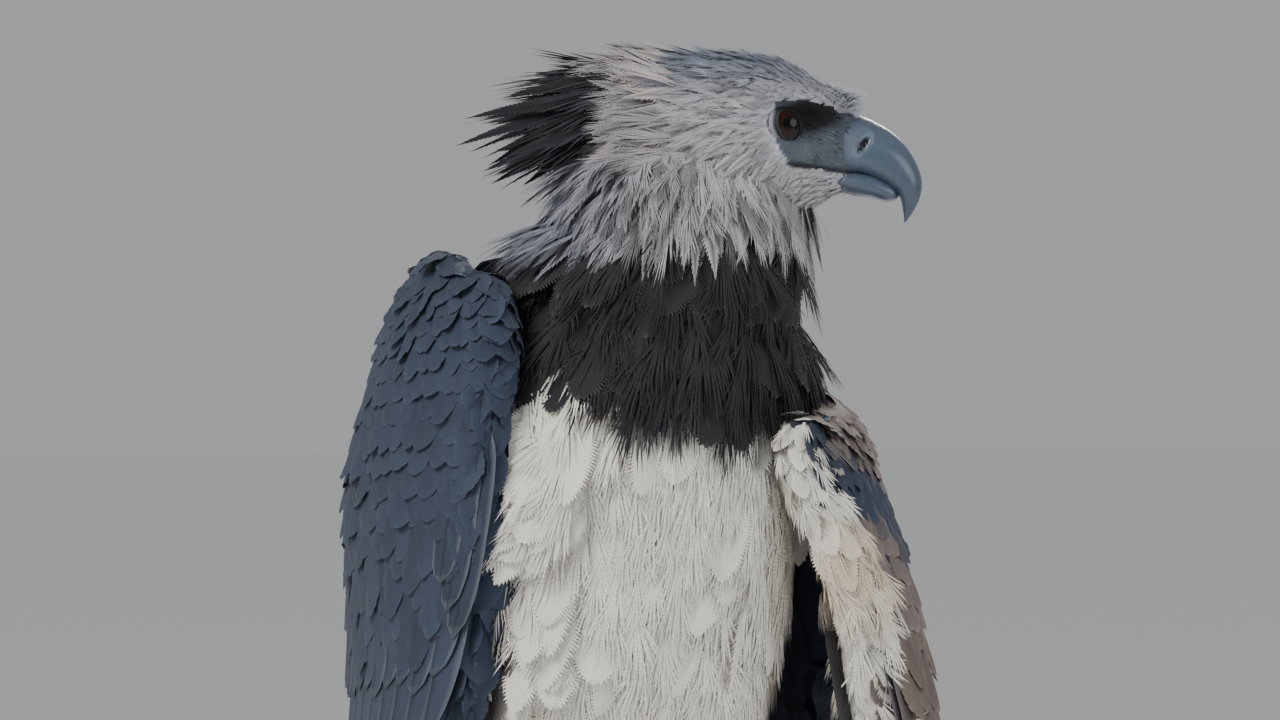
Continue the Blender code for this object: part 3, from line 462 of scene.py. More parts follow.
def arm_sections(sheet, inset, count=40):
    """The fleshy part of the wing, as closed sections from the wrist down the forearm."""
    v = -0.011 + 0.351 * np.linspace(0.0, 1.0, count)[:, None] ** 1.25
    turn = turns()[None, :]
    dome = np.sqrt(np.clip(1 - (np.clip(0.085 - v, 0, 1) / 0.098) ** 2, 0.02, 1))
    boxy = 0.55 + 0.45 * np.clip(0.09 - v, 0, 0.1) * 10
    u = 0.5 - 0.485 * dome * power(np.cos(turn), boxy)
    full = dome * np.where(v > 0.27, 1 - (v - 0.27) / 0.10, 1.0)
    thick = np.where(np.sin(turn) > 0, 0.0135, 0.0165) - inset
    n = power(np.sin(turn), 0.5) * thick * full
    places = sheet.point(u, np.broadcast_to(np.maximum(v, 0.0), n.shape), n)
    return places + np.maximum(-v, 0.0)[..., None] * 0.56 * UP


def edge_sections(sheet, inset, count=40):
    """The rounded front edge of the wing, which carries on down the hand."""
    v = np.linspace(0.02, 0.66, count)[:, None]
    turn = turns()[None, :]
    size = (0.0145 - inset) * np.minimum(1.0, (0.70 - v) / 0.30) + 0 * turn
    u = 0.055 + size * np.cos(turn) / sheet.chord(v)
    sunk = np.where(v > 0.28, -0.003 - 0.009 * np.minimum(1, (v - 0.28) / 0.06), -0.003)
    n = sunk + size * np.sin(turn)
    return sheet.point(u, np.broadcast_to(v, n.shape), n)


arm_rings = {side: arm_sections(SHEETS[side], 0.0) for side in (1, -1)}
edge_rings = {side: edge_sections(SHEETS[side], 0.0) for side in (1, -1)}
print("wing chords at the elbow:", [round(float(SHEETS[s].chord(np.array(0.2))), 3) for s in (1, -1)])

# %% [markdown]
# Markings are worked out from places on the body: a pale grey head, a blackish band across the
# chest that comes to a point, a white breast and belly, and a slate-black back.

# %% Markings
SNOW = seen(236, 232, 224)
CREAM = seen(228, 212, 186)
ASH = seen(176, 176, 182)
STEEL = seen(122, 130, 146)
SOOT = seen(44, 42, 46)
SLATE = seen(52, 62, 80)
INK = seen(30, 31, 37)
LORE = seen(78, 87, 97)
BAND_EDGE = (
    [-0.09, -0.036, -0.0126, -0.001, 0.0105, 0.0205, 0.032, 0.045, 0.0575, 0.0875, 0.10, 0.13],
    [0.636, 0.639, 0.629, 0.6155, 0.6055, 0.6020, 0.604, 0.612, 0.600, 0.612, 0.600, 0.590],
)
CHANCE = np.random.default_rng(7)


def camera_across(places):
    return (places - SHIFT) @ CAMERA_RIGHT


def blend(a, b, share):
    """Colour a where the share is 0, colour b where it is 1 or more; one share for each place."""
    return a + (b - a) * np.clip(share, 0, 1)[..., None]


def plumage(places, normals):
    """Colour of the coat at places on the torso and the neck."""
    local = places - SHIFT
    height = local[:, 2]
    across = camera_across(places)
    edge = np.interp(across, *BAND_EDGE)
    white = blend(SNOW, CREAM, (0.50 - height) * 1.2)
    colour = blend(white, SOOT, (height - edge) / 0.004)
    behind = normals[:, 1] - 0.25
    colour = blend(colour, SLATE * 0.8, behind / 0.15 * (height > 0.31))
    ruff = np.interp(across, [-0.05, 0.03, 0.09, 0.12], [0.694, 0.690, 0.682, 0.674])
    grey = blend(ASH, STEEL, (0.03 - across) / 0.06)
    return blend(colour, grey, (height - ruff) / 0.006)


def head_colour(places):
    """Colour of the coat on the head: bluish crown, pale cheeks, dark bare lores."""
    local = places - SHIFT
    along = local @ LOOK
    height = local[:, 2]
    crown = blend(ASH, STEEL, (height - 0.772) / 0.020)
    return blend(crown, STEEL * 0.8, (0.020 - along) / 0.025)


print("snow and soot in linear light:", SNOW.round(2), SOOT.round(3))

# %% [markdown]
# The skin: all fleshy forms are made a little thinner than the finished bird, joined, and
# melted into one closed surface by a voxel remesh, then smoothed. Feathers cover nearly all of
# it, but it closes every gap between them and shapes the face.

# %% One skin over the whole body
def join(parts, name):
    bpy.ops.object.select_all(action="DESELECT")
    for part in parts:
        part.select_set(True)
    bpy.context.view_layer.objects.active = parts[0]
    bpy.ops.object.join()
    joined = bpy.context.object
    joined.name = name
    return joined


def melt(piece, voxel, rounds):
    """Joined forms become one closed surface of even cells, which is then smoothed."""
    remesh = piece.modifiers.new("melt", "REMESH")
    remesh.mode = "VOXEL"
    remesh.voxel_size = voxel
    remesh.use_smooth_shade = True
    bpy.ops.object.modifier_apply(modifier="melt")
    relax = piece.modifiers.new("relax", "SMOOTH")
    relax.factor = 0.5
    relax.iterations = rounds
    bpy.ops.object.modifier_apply(modifier="relax")


def ball(name, centre, radii, facing):
    """An ellipsoid whose third radius points along a direction."""
    bpy.ops.object.select_all(action="DESELECT")
    bpy.ops.mesh.primitive_uv_sphere_add(segments=24, ring_count=16, radius=1.0)
    made = bpy.context.object
    made.name = name
    made.scale = radii
    made.rotation_euler = Vector(facing).to_track_quat("Z", "Y").to_euler()
    made.location = Vector(centre)
    bpy.ops.object.transform_apply(location=True, rotation=True, scale=True)
    bpy.ops.object.shade_smooth()
    return made


def eye_facing(side):
    return unit(LOOK_LEFT * side + LOOK * EYE_FORWARD)


def eye_centre(side):
    return head_point(EYE_ALONG - 0.0046, side * (EYE_ASIDE - 0.0014), EYE_HEIGHT - 0.0030) + SHIFT


TORSO_COAT, NECK_COAT, HEAD_COAT, THIGH_COAT, WING_COAT = 0.009, 0.008, 0.0035, 0.009, 0.004
JAW = [
    (0.055, 0.7330, 0.0180, 0.0300), (0.085, 0.7325, 0.0105, 0.0255),
    (0.105, 0.7335, 0.0068, 0.0205), (0.124, 0.7335, 0.0048, 0.0145),
]
FOREHEAD = [
    (0.075, 0.7750, 0.0150, 0.0200), (0.100, 0.7730, 0.0125, 0.0185),
    (0.118, 0.7690, 0.0095, 0.0150), (0.128, 0.7665, 0.0060, 0.0105),
]
CERE = [
    (0.098, 0.7525, 0.0150, 0.0195), (0.110, 0.7525, 0.0134, 0.0170),
    (0.119, 0.7520, 0.0138, 0.0156), (0.1245, 0.7520, 0.0128, 0.0148),
]
flesh = [
    form("torso_form", body_sections(TORSO, 60, TORSO_COAT)),
    form("neck_form", body_sections(NECK, 34, NECK_COAT)),
    form("head_form", head_sections(HEAD, 48, HEAD_COAT)),
]
for side in (1, -1):
    flesh.append(form("thigh_form", thigh_sections(side, THIGH_COAT)))
    flesh.append(form("arm_form", arm_sections(SHEETS[side], WING_COAT)))
    flesh.append(form("edge_form", edge_sections(SHEETS[side], WING_COAT)))
    shoulder = SHEETS[side].point(0.6, 0.10, -0.006)
    inner = np.array([0.045 * side, 0.02, shoulder[2] - 0.01]) + SHIFT * [1, 1, 0]
    flesh.append(ball("shoulder_form", (shoulder + inner) / 2, (0.026, 0.036, 0.036), shoulder - inner))
    slope = unit(LOOK - UP * 0.30 - LOOK_LEFT * side * 0.28)
    brow = head_point(0.0980, side * 0.0295, 0.7742) + SHIFT
    flesh.append(ball("brow_form", brow, (0.0048, 0.0068, 0.0240), slope))
for name, rows in (("jaw_form", JAW), ("forehead_form", FOREHEAD), ("cere_form", CERE)):
    flesh.append(form(name, head_sections(rows, 24)))
skin = join(flesh, "skin")
melt(skin, 0.00285, 6)
for face in skin.data.polygons:
    local = np.array(face.center) - SHIFT
    face.select = bool(local[2] > 0.724 and local @ LOOK > 0.070)
bpy.ops.object.mode_set(mode="EDIT")
bpy.context.tool_settings.mesh_select_mode = (False, False, True)
bpy.ops.mesh.subdivide(number_cuts=1, smoothness=0.0)
bpy.ops.mesh.vertices_smooth(factor=0.5, repeat=3)
bpy.ops.object.mode_set(mode="OBJECT")
print("skin faces:", len(skin.data.polygons))

# %% [markdown]
# The eyes of an eagle sit under a hard brow, in a hollow of bare skin that runs forward to the
# bill. The hollow is pressed into the skin point by point, deepest just before the eye.

# %% Eye sockets and face
SOCKET = (
    (0.0935, 0.7605, 0.0100, 0.0010), (0.1065, 0.7650, 0.0068, 0.0050),
    (0.1140, 0.7625, 0.0070, 0.0028), (0.0920, 0.7490, 0.0050, -0.0010),
    (0.1080, 0.7430, 0.0060, -0.0008),
)
MOUTH = ([0.090, 0.0957, 0.109, 0.1254], [0.7425, 0.7408, 0.7396, 0.7371])


def on_head_axes(places):
    """Along the look, to the bird's left of the head's middle, and the height."""
    local = places - SHIFT
    return local @ LOOK, local @ LOOK_LEFT - HEAD_DEPTH, local[..., 2]


co = read_out(skin.data, "co")
for side in (1, -1):
    facing = eye_facing(side)
    for along, height, radius, depth in SOCKET:
        middle = head_point(along, side * 0.034, height) + SHIFT
        offset = co - middle
        offset = offset - (offset @ facing)[:, None] * facing
        this_half = ((co - head_point(along, 0, height) - SHIFT) @ LOOK_LEFT) * side > 0.008
        near = np.exp(-((np.linalg.norm(offset, axis=1) / radius) ** 2)) * this_half
        co -= facing * (near * depth)[:, None]
run, aside, height = on_head_axes(co)
groove = np.exp(-(((height - np.interp(run, *MOUTH)) / 0.0014) ** 2)) * np.clip((run - 0.093) / 0.003, 0, 1)
co -= LOOK_LEFT * (np.sign(aside) * groove * 0.0012)[:, None]
skin.data.vertices.foreach_set("co", co.ravel())
skin.data.update()
skin_tree = BVHTree.FromPolygons([tuple(p) for p in co], [tuple(f.vertices) for f in skin.data.polygons])
normals = read_out(skin.data, "normal")
FACE_TOP = (
    [0.085, 0.093, 0.102, 0.112, 0.120, 0.136],
    [0.7715, 0.7730, 0.7735, 0.7710, 0.7680, 0.7640],
)
FACE_FOOT = ([0.086, 0.091, 0.096, 0.104, 0.132], [0.7560, 0.7470, 0.7400, 0.7390, 0.7365])


def is_face(places):
    """1 where a place lies in the bare skin round the eye and before it, else 0."""
    along, aside, height = on_head_axes(places)
    ring = np.hypot(along - EYE_ALONG + 0.0040, height - EYE_HEIGHT + 0.0026) / 0.0074
    between = (height < np.interp(along, *FACE_TOP)) & (height > np.interp(along, *FACE_FOOT))
    before = (along > 0.088) & between
    return np.where(before | (ring < 1.0), 1.0, 0.0) * (np.abs(aside) > 0.008)


bare = is_face(co)
along, aside, height = on_head_axes(co)
on_head = height > 0.745
tone = np.where(on_head[:, None], head_colour(co), plumage(co, normals))
# Before the eye the skin is painted near-black: partly its own dark skin, partly painted shadow of the
# brow.
dark_skin_and_brow_shadow = np.exp(-(((along - 0.1055) / 0.0125) ** 2) - ((height - 0.7655) / 0.0072) ** 2)
round_eye = np.exp(-((np.hypot(along - EYE_ALONG + 0.003, height - EYE_HEIGHT + 0.0026) / 0.0098) ** 4))
gape = np.exp(-(((height - np.interp(along, *MOUTH)) / 0.0013) ** 2)) * (along > 0.094)
tone = blend(tone, LORE, bare)
tone = blend(tone, LORE * 0.62, bare * round_eye * 0.8)
tone = blend(tone, seen(17, 15, 17), bare * np.clip(dark_skin_and_brow_shadow * 2.1, 0, 1))
tone = blend(tone, seen(14, 13, 15), np.clip(gape * 1.3, 0, 1) * 0.9)


def search_tree(points):
    tree = KDTree(len(points))
    for i, point in enumerate(points):
        tree.insert(point, i)
    tree.balance()
    return tree


def nearness(spots, rings):
    """Distance from each of the spots to the nearest point of some rings."""
    tree = search_tree(np.concatenate([ring.reshape(-1, 3) for ring in rings]))
    return np.array([tree.find(spot)[2] for spot in spots])


to_wing = nearness(co, [*arm_rings.values(), *edge_rings.values()])
on_wing = to_wing < nearness(co, [torso_rings, neck_rings]) - 0.001
tone = np.where((on_wing & ~on_head)[:, None], SLATE * 0.6, tone)
write_tone(skin.data, tone)
made, shader, place = material("bare_skin", 0.72, specular=0.3)
pores = place.node("ShaderNodeTexVoronoi", {}, {"Vector": place, "Scale": 900.0}, "Distance")
blotch = noise(place, 160.0, 4.0)
feed(shader, "Base Color", own_tone(place).scaled(pores * 0.35 + blotch * 0.7 + 0.45))
feed(shader, "Normal", bump(place, 0.5, 0.0006, pores + blotch))
skin.data.materials.clear()
skin.data.materials.append(made)
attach(skin, "root")
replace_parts(skin, "torso", "neck", "head", "thigh_left", "thigh_right", "wing_left_arm", "wing_right_arm")
print("skin coloured and set on the body")

# %% [markdown]
# A feather is a shaft with a row of barbs to each side. Near the shaft the barbs hold together,
# at the rim they part, which gives a real feather its soft, ragged outline. A few different
# feathers are drawn with seeded chance and planted many times, each turned and sized afresh.

# %% Drawing one feather
def rounded(y):
    return np.sin(np.pi * np.clip(y, 0, 1) ** 0.78) ** 0.55


def pointed(y):
    y = np.clip(y, 0, 1)
    return np.sin(np.pi * y**0.55) ** 0.9 * (1.12 - 0.35 * y)


def wispy(y):
    y = np.clip(y, 0, 1)
    return np.sin(np.pi * y**0.42) ** 0.8


def leaf(seed, barbs, outline, ragged, waist, closed, spread):
    """A feather 1 long and 1 wide to each side: its places, triangles and places on the vane."""
    rng = np.random.default_rng(seed)
    start = np.linspace(0.0, 0.90, barbs + 1)
    end = np.minimum(start + spread * (1.05 - 0.4 * start), 0.99)
    half = np.maximum(outline(end), 0.05)
    points = [(0.0, y, 0.03) for y in start] + [(0.0, 1.0, 0.0)]
    rims = [(0.0, y) for y in start] + [(0.0, 1.0)]
    tip = barbs + 1
    faces = []
    for side in (1, -1):
        mid = len(points)
        for i in range(barbs + 1):
            points.append((side * waist * half[i], start[i] + waist * (end[i] - start[i]), 0.0))
            rims.append((side * waist, points[-1][1]))
        for i in range(barbs):
            reach = 1 + rng.uniform(-ragged, ragged)
            lift = rng.uniform(-0.05, 0.05)
            for share in ((1 - closed) / 2, (1 + closed) / 2) if closed else (0.8,):
                x = half[i] + (half[i + 1] - half[i]) * share
                y = end[i] + (end[i + 1] - end[i]) * share + 0.25 * (reach - 1)
                points.append((side * x * reach, min(y, 1.02), lift))
                rims.append((side, y))
            last = len(points) - 1
            rim = [last - 1, last] if closed else [last]
            for q in ([i, mid + i, mid + i + 1, i + 1], [mid + i, *rim, mid + i + 1]):
                q = q if side > 0 else q[::-1]
                faces += [(q[0], q[k], q[k + 1]) for k in range(1, len(q) - 1)]
        last = (barbs, mid + barbs, tip) if side > 0 else (tip, mid + barbs, barbs)
        faces.append(last)
    return np.array(points), np.array(faces), np.array(rims)


def brush(seed, blades):
    """A tuft of loose barbs that fan out from the root: down, and the soft ends of feathers."""
    rng = np.random.default_rng(seed)
    points, faces, rims = [], [], []
    for aim in np.linspace(-0.95, 0.95, blades) + rng.uniform(-0.1, 0.1, blades):
        foot = np.array([aim * 0.22, rng.uniform(0.0, 0.35)])
        end = np.array([aim * rng.uniform(0.75, 1.1), 1.0 - 0.35 * aim**2 + rng.uniform(-0.16, 0.04)])
        first, lift = len(points), rng.uniform(-0.06, 0.06)
        for share, wide in ((0.0, 0.038), (0.35, 0.052), (0.7, 0.042)):
            x, y = foot + (end - foot) * np.array([share**1.3, share])
            points += [(x - wide, y, lift * share), (x + wide, y, lift * share)]
            rims += [(x, y), (x, y)]
        points.append((end[0], end[1], lift))
        rims.append((end[0], end[1]))
        blade = ((0, 1, 3), (0, 3, 2), (2, 3, 5), (2, 5, 4), (4, 5, 6))
        faces += [(first + a, first + b, first + c) for a, b, c in blade]
    return np.array(points), np.array(faces), np.array(rims)


SOFT_LEAVES = [leaf(s, 26, rounded, 0.05, 0.70, 0.0, 0.12) for s in range(6)]
BRUSHES = [brush(60 + s, 13) for s in range(8)]
SMALL_LEAVES = [leaf(10 + s, 11, rounded, 0.08, 0.78, 0.0, 0.16) for s in range(6)]
TINY_LEAVES = [leaf(20 + s, 5, pointed, 0.16, 0.50, 0.0, 0.26) for s in range(6)]
POINTED_LEAVES = [leaf(30 + s, 14, pointed, 0.10, 0.66, 0.0, 0.16) for s in range(6)]
FIRM_LEAVES = [leaf(40 + s, 9, rounded, 0.03, 0.88, 0.92, 0.13) for s in range(5)]
LONG_LEAVES = [leaf(50 + s, 34, wispy, 0.06, 0.74, 0.0, 0.07) for s in range(5)]
print("triangles in a soft feather:", len(SOFT_LEAVES[0][1]))

# %% [markdown]
# Planting works on all feathers of a patch at once. Each grows from a root, leaves the skin at
# the angle `lift` and bends back by `bend` along its length, so that it lies on the next one.
# Each also gets a small patch on the map OFBake, at the root's place on the unrolled body.

# %% Planting feathers
ALL_ROOTS = []


def turned(first, second, angle):
    """Two directions at right angles, turned together in their plane."""
    cos, sin = np.cos(angle), np.sin(angle)
    return first * cos + second * sin, second * cos - first * sin


class Coat:
    """Many feathers that become one object."""

    def __init__(self, name, finish, slot):
        self.name, self.finish, self.slot = name, finish, slot
        self.points, self.faces, self.vanes, self.bakes, self.tones = [], [], [], [], []
        self.count = 0

    def add(self, points, faces, vanes, bakes, tones):
        self.points.append(points.reshape(-1, 3))
        self.faces.append(faces.reshape(-1, 3) + self.count)
        self.vanes.append(vanes.reshape(-1, 2))
        self.bakes.append(bakes.reshape(-1, 2))
        self.tones.append(tones.reshape(-1, 3))
        self.count += len(self.points[-1])

    def plant(self, leaves, spots, size, angles, tone, cup=0.22, loose=1.0, where=None):
        """Plant one of the leaves at each of the spots, or only where a mask is true.

        `spots` holds roots, directions, normals and places on the map; `size` is length and half
        a width; `angles` are lift and bend; `tone(across, along, pick)` colours the picked ones.
        """
        root, head, normal, patch = (np.asarray(values) for values in spots)
        chosen = np.arange(len(root)) if where is None else np.flatnonzero(where)
        total = len(chosen)
        if total == 0:
            return

        def row(values):
            values = np.asarray(values, float)
            whole = values.ndim and len(values) == len(root)
            return values[chosen] if whole else np.broadcast_to(values, (total,))

        length, half, lift, bend = (row(values) for values in (*size, *angles))
        root, head, normal, patch = (values[chosen] for values in (root, head, normal, patch))
        ALL_ROOTS.append(root)
        head = unit(head - (head * normal).sum(1, keepdims=True) * normal)
        side = np.cross(head, normal)
        yaw = np.radians(CHANCE.normal(0, 6.0 * loose, total))[:, None]
        head, side = turned(head, side, yaw)
        roll = np.radians(CHANCE.normal(0, 5.0 * loose, total))[:, None]
        side, normal = turned(side, normal, roll)
        length = length * (1 + CHANCE.normal(0, 0.07 * loose, total))
        half = half * (1 + CHANCE.normal(0, 0.06 * loose, total))
        lift = np.radians(lift + CHANCE.normal(0, 2.5 * loose, total))
        bend = np.radians(bend + CHANCE.normal(0, 3.0 * loose, total))
        bend = np.where(np.abs(bend) < 0.02, 0.02, bend)
        sway = CHANCE.normal(0, 0.05 * loose, total)
        kind = CHANCE.integers(0, len(leaves), total)
        for k, (points, faces, rims) in enumerate(leaves):
            pick = np.flatnonzero(kind == k)
            if len(pick) == 0:
                continue
            x, y, z = points.T
            long, wide, first, curl = (v[pick, None] for v in (length, half, lift, bend))
            angle = first - curl * y
            rise = (z - cup * x**2) * wide
            ahead = (np.sin(first) - np.sin(angle)) / curl * long - rise * np.sin(angle)
            above = (np.cos(angle) - np.cos(first)) / curl * long + rise * np.cos(angle)
            across = x * wide + sway[pick, None] * long * y**2
            h, n, s, r = (v[pick, None, :] for v in (head, normal, side, root))
            places = r + h * ahead[..., None] + n * above[..., None] + s * across[..., None]
            mesh_faces = faces[None] + (np.arange(len(pick)) * len(points))[:, None, None]
            vane = np.stack([0.5 + 0.5 * rims[:, 0], rims[:, 1]], 1)
            vane = np.broadcast_to(vane, (len(pick), len(points), 2))
            bake = patch[pick][:, None, :] + np.stack([x * 0.0012, (y - 0.5) * 0.003], 1)[None]
            self.add(places, mesh_faces, vane, bake, tone(rims[:, 0], rims[:, 1], chosen[pick]))

    def build(self):
        points, faces = np.concatenate(self.points), np.concatenate(self.faces)
        mesh = bpy.data.meshes.new(self.name)
        mesh.vertices.add(len(points))
        mesh.vertices.foreach_set("co", points.astype(np.float32).ravel())
        mesh.loops.add(len(faces) * 3)
        mesh.loops.foreach_set("vertex_index", faces.astype(np.int32).ravel())
        mesh.polygons.add(len(faces))
        mesh.polygons.foreach_set("loop_start", np.arange(0, len(faces) * 3, 3, dtype=np.int32))
        mesh.polygons.foreach_set("use_smooth", np.ones(len(faces), dtype=bool))
        for name, values in (("OFBake", self.bakes), ("Vane", self.vanes)):
            layer = mesh.uv_layers.new(name=name)
            layer.data.foreach_set("uv", np.concatenate(values)[faces.ravel()].astype(np.float32).ravel())
        write_tone(mesh, np.concatenate(self.tones))
        mesh.update(calc_edges=True)
        mesh.validate()
        mesh.materials.append(self.finish)
        made = bpy.data.objects.new(self.name, mesh)
        bpy.context.scene.collection.objects.link(made)
        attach(made, "root")
        print(self.name, "triangles:", len(faces))
        return made


def roots_on(sections, spacing, area, first=0.0, last=1.0, straight=False):
    """Evenly scattered roots over a form: places, directions along it, normals, map places."""
    count = len(sections)
    path = np.concatenate([[0], np.cumsum(np.linalg.norm(np.diff(sections, axis=0), axis=2).mean(1))])
    step = spacing if callable(spacing) else (lambda share: spacing)
    closed = np.concatenate([sections, sections[:, :1]], 1)

    def ring(t):
        t = min(max(t, 0.0), count - 1.0)
        i = min(int(t), count - 2)
        return closed[i] + (closed[i + 1] - closed[i]) * (t - i)

    place, along, normal, patch = [], [], [], []
    s, row = path[-1] * first + step(first) * 0.5, 0
    while s < path[-1] * last:
        t = np.interp(s, path, np.arange(count))
        here, before, after = ring(t), ring(t - 0.5), ring(t + 0.5)
        girth = np.concatenate([[0], np.cumsum(np.linalg.norm(np.diff(here, axis=0), axis=1))])
        number = max(4, int(girth[-1] / step(s / path[-1])))
        spots = np.arange(number) + 0.5 * (row % 2) + CHANCE.uniform(-0.22, 0.22, number)
        spots = spots / number % 1.0
        turn = np.interp(spots * girth[-1], girth, np.arange(AROUND + 1))

        def read(values, turn):
            i = np.minimum(turn.astype(int), AROUND - 1)
            return values[i] + (values[i + 1] - values[i]) * (turn - i)[:, None]

        mix = CHANCE.uniform(-0.3, 0.3, number)[:, None]
        run = read(after, turn) - read(before, turn)
        here_at = read(here, turn) + run * mix
        round_way = read(here, (turn + 0.7) % AROUND) - read(here, (turn - 0.7) % AROUND)
        n = unit(np.cross(round_way, run))
        outward = ((read(here, turn) - here[:-1].mean(0)) * n).sum(1, keepdims=True)
        n = np.where(outward < 0, -n, n)
        place.append(here_at)
        axis = unit((after - before)[:-1].mean(0))
        along.append(np.broadcast_to(axis, run.shape) if straight else unit(run))
        normal.append(n)
        u = area[0] + (area[2] - area[0]) * spots
        v = np.full(number, area[1] + (area[3] - area[1]) * s / path[-1])
        patch.append(np.stack([u, v], 1))
        s += step(s / path[-1])
        row += 1
    return [np.concatenate(v) for v in (place, along, normal, patch)]


def settle(place, normal, reach):
    """Move roots onto the skin, take its normals, and tell which are near enough to keep."""
    spots, outs, keep = place.copy(), normal.copy(), np.zeros(len(place), bool)
    for i, p in enumerate(place):
        spot, out, _, _ = skin_tree.find_nearest(Vector(p), reach)
        if spot is not None and out.dot(Vector(normal[i])) > 0.2:
            spots[i], outs[i], keep[i] = spot, out, True
    return spots, unit(outs + normal * 0.25), keep


def rim_tone(base, rim, strength=0.6, start=0.74, shaft=0.0, tip=0.0, root=0.72):
    """Feathers in a base colour that turns to a rim colour at the edge, with a darker shaft."""
    base = np.asarray(base)
    rim = np.broadcast_to(rim, base.shape)

    def tone(across, along, pick):
        edge = np.maximum(np.abs(across), np.clip((along - 0.62) / 0.38, 0, 1) ** 1.5 * 1.02)
        share = (np.clip((edge - start) / (1.02 - start), 0, 1) * strength)[None, :, None]
        colour = base[pick][:, None, :] * (1 - share) + rim[pick][:, None, :] * share
        dark = 1 - shaft * np.clip((0.30 - np.abs(across)) / 0.30, 0, 1) * np.clip(along * 3, 0, 1)
        light = 1 + tip * np.clip((along - 0.3) / 0.7, 0, 1)
        root_shade = root + (1 - root) * np.clip(along / 0.35, 0, 1)
        return colour * (dark * light * root_shade)[None, :, None]

    return tone


WHOLE_MAP = (0.02, 0.02, 0.98, 0.98)


def rooted(sections, spacing, first=0.0, last=1.0, reach=0.006, area=WHOLE_MAP, straight=False):
    """Roots over a form, settled on the skin, and a mask of those that may stay."""
    place, along, normal, patch = roots_on(sections, spacing, area, first, last, straight)
    place, normal, keep = settle(place, normal, reach)
    return place, along, normal, patch, keep


def only(keep, *arrays):
    return (values[keep] for values in arrays)


def varied(colour, place, spread):
    """One colour for each place, each a little lighter or darker by chance."""
    return np.broadcast_to(colour, place.shape) * (1 + CHANCE.normal(0, spread, len(place)))[:, None]


print("planting tools ready")

# %% [markdown]
# Breast, belly and back: broad, soft feathers, the largest on the chest. They lie towards the
# tail. Where two forms meet, roots that would grow inside the other form are left out.

# %% Body feathers
def swelling(place):
    """The breast is a little uneven, which lifts some of its feathers above the others."""
    return (0.0022 * (np.sin(place[:, 0] * 70 + 1.3) * np.sin(place[:, 2] * 55 + 0.4)))[:, None]


def wing_gap_shade(colours, place, along):
    """Painted shade: the coat darkens where it runs into the gap beside the left wing."""
    gap = nearness(place - along * 0.03, [arm_rings[1], edge_rings[1]])
    return colours * np.clip(gap / 0.018, 0.22, 1)[:, None]


torso = body_sections(TORSO, 60, TORSO_COAT)
place, along, normal, patch, keep = rooted(torso, 0.0135, 0.02, 0.99)
keep &= (place - SHIFT)[:, 2] < 0.665
place, along, normal, patch = only(keep, place, along, normal, patch)
base = varied(plumage(place - along * 0.028, normal), place, 0.05)
dark = base.mean(1) < 0.25
front = normal[:, 1] < 0.25
# Painted shade in the gap beside the left wing.
base = wing_gap_shade(base, place, along)
breast = Coat("breast_feathers", SOFT_FEATHER, "breast_feathers")
back = Coat("back_feathers", SOFT_FEATHER, "wing_feathers")
spots = (place, -along, normal, patch)
raised = (place + normal * swelling(place), -along, normal, patch)
breast.plant(
    SOFT_LEAVES, raised, (0.046, 0.0165), (7.0, 12.0),
    rim_tone(base, SNOW * 1.05, 0.7, 0.5), cup=0.16, loose=1.5, where=front & ~dark,
)
breast.plant(
    SOFT_LEAVES, spots, (0.040, 0.0155), (15.0, 18.0),
    rim_tone(base, seen(104, 98, 98), 0.5, 0.84, 0.1), cup=0.20, where=front & dark,
)
back.plant(
    FIRM_LEAVES, spots, (0.042, 0.0145), (17.0, 20.0),
    rim_tone(base, seen(120, 124, 132), 0.5, 0.84, 0.15), cup=0.24, where=~front,
)
print("body feathers:", len(place))

# %% Down of the breast
down = Coat("breast_down", SOFT_FEATHER, "breast_feathers")
place, along, normal, patch, keep = rooted(torso, 0.0066, 0.02, 0.99)
keep &= ((place - SHIFT)[:, 2] < 0.672) & (normal[:, 1] < 0.30)
place, along, normal, patch = only(keep, place, along, normal, patch)
base = varied(plumage(place - along * 0.026, normal), place, 0.035)
# Painted shade in the gap beside the left wing.
base = wing_gap_shade(base, place, along)
down.plant(
    BRUSHES, (place + normal * (0.0034 + swelling(place)), -along, normal, patch),
    (np.where(base.mean(1) < 0.2, 0.046, 0.037), 0.0112), (8.0, 8.5),
    rim_tone(base, base * 1.03, 0.5, 0.6, root=0.97), cup=0.10, loose=1.2,
)
down.build()

# %% [markdown]
# The black band of the chest runs up under the ruff. From the bird's right breast a lobe of
# loose white feathers laps over the edge of the folded wing.

# %% Band and side tufts
place, along, normal, patch, keep = rooted(body_sections(NECK, 34, NECK_COAT), 0.0058, straight=True)
across, height = camera_across(place), (place - SHIFT)[:, 2]
RUFF_LINE = ([-0.05, -0.01, 0.03, 0.09, 0.12], [0.706, 0.706, 0.714, 0.711, 0.704])
ruff_line = np.interp(across, *RUFF_LINE)
upper = keep & (height > ruff_line)
lower = keep & (height <= ruff_line + 0.004) & (height > 0.655) & (CHANCE.random(len(place)) < 0.28)
base = blend(varied(SOOT, place, 0.06), SLATE * 0.8, (normal[:, 1] - 0.3) / 0.2)
breast.plant(
    SOFT_LEAVES, (place, -along, normal, patch), (0.040, 0.0150), (14.0, 20.0),
    rim_tone(base, seen(104, 98, 98), 0.5, 0.84, 0.1), cup=0.20, where=lower,
)
breast.plant(
    BRUSHES, (place + normal * 0.002, -along, normal, patch), (0.045, 0.0110), (14.0, 16.0),
    rim_tone(base, seen(84, 80, 82), 0.4, 0.8, root=0.9), cup=0.12, loose=1.8, where=lower,
)
lap = Coat("side_tufts", SOFT_FEATHER, "breast_feathers")
starts, ways, outs = [], [], []
SIDE_HEIGHTS = [0.49, 0.55, 0.605, 0.65]
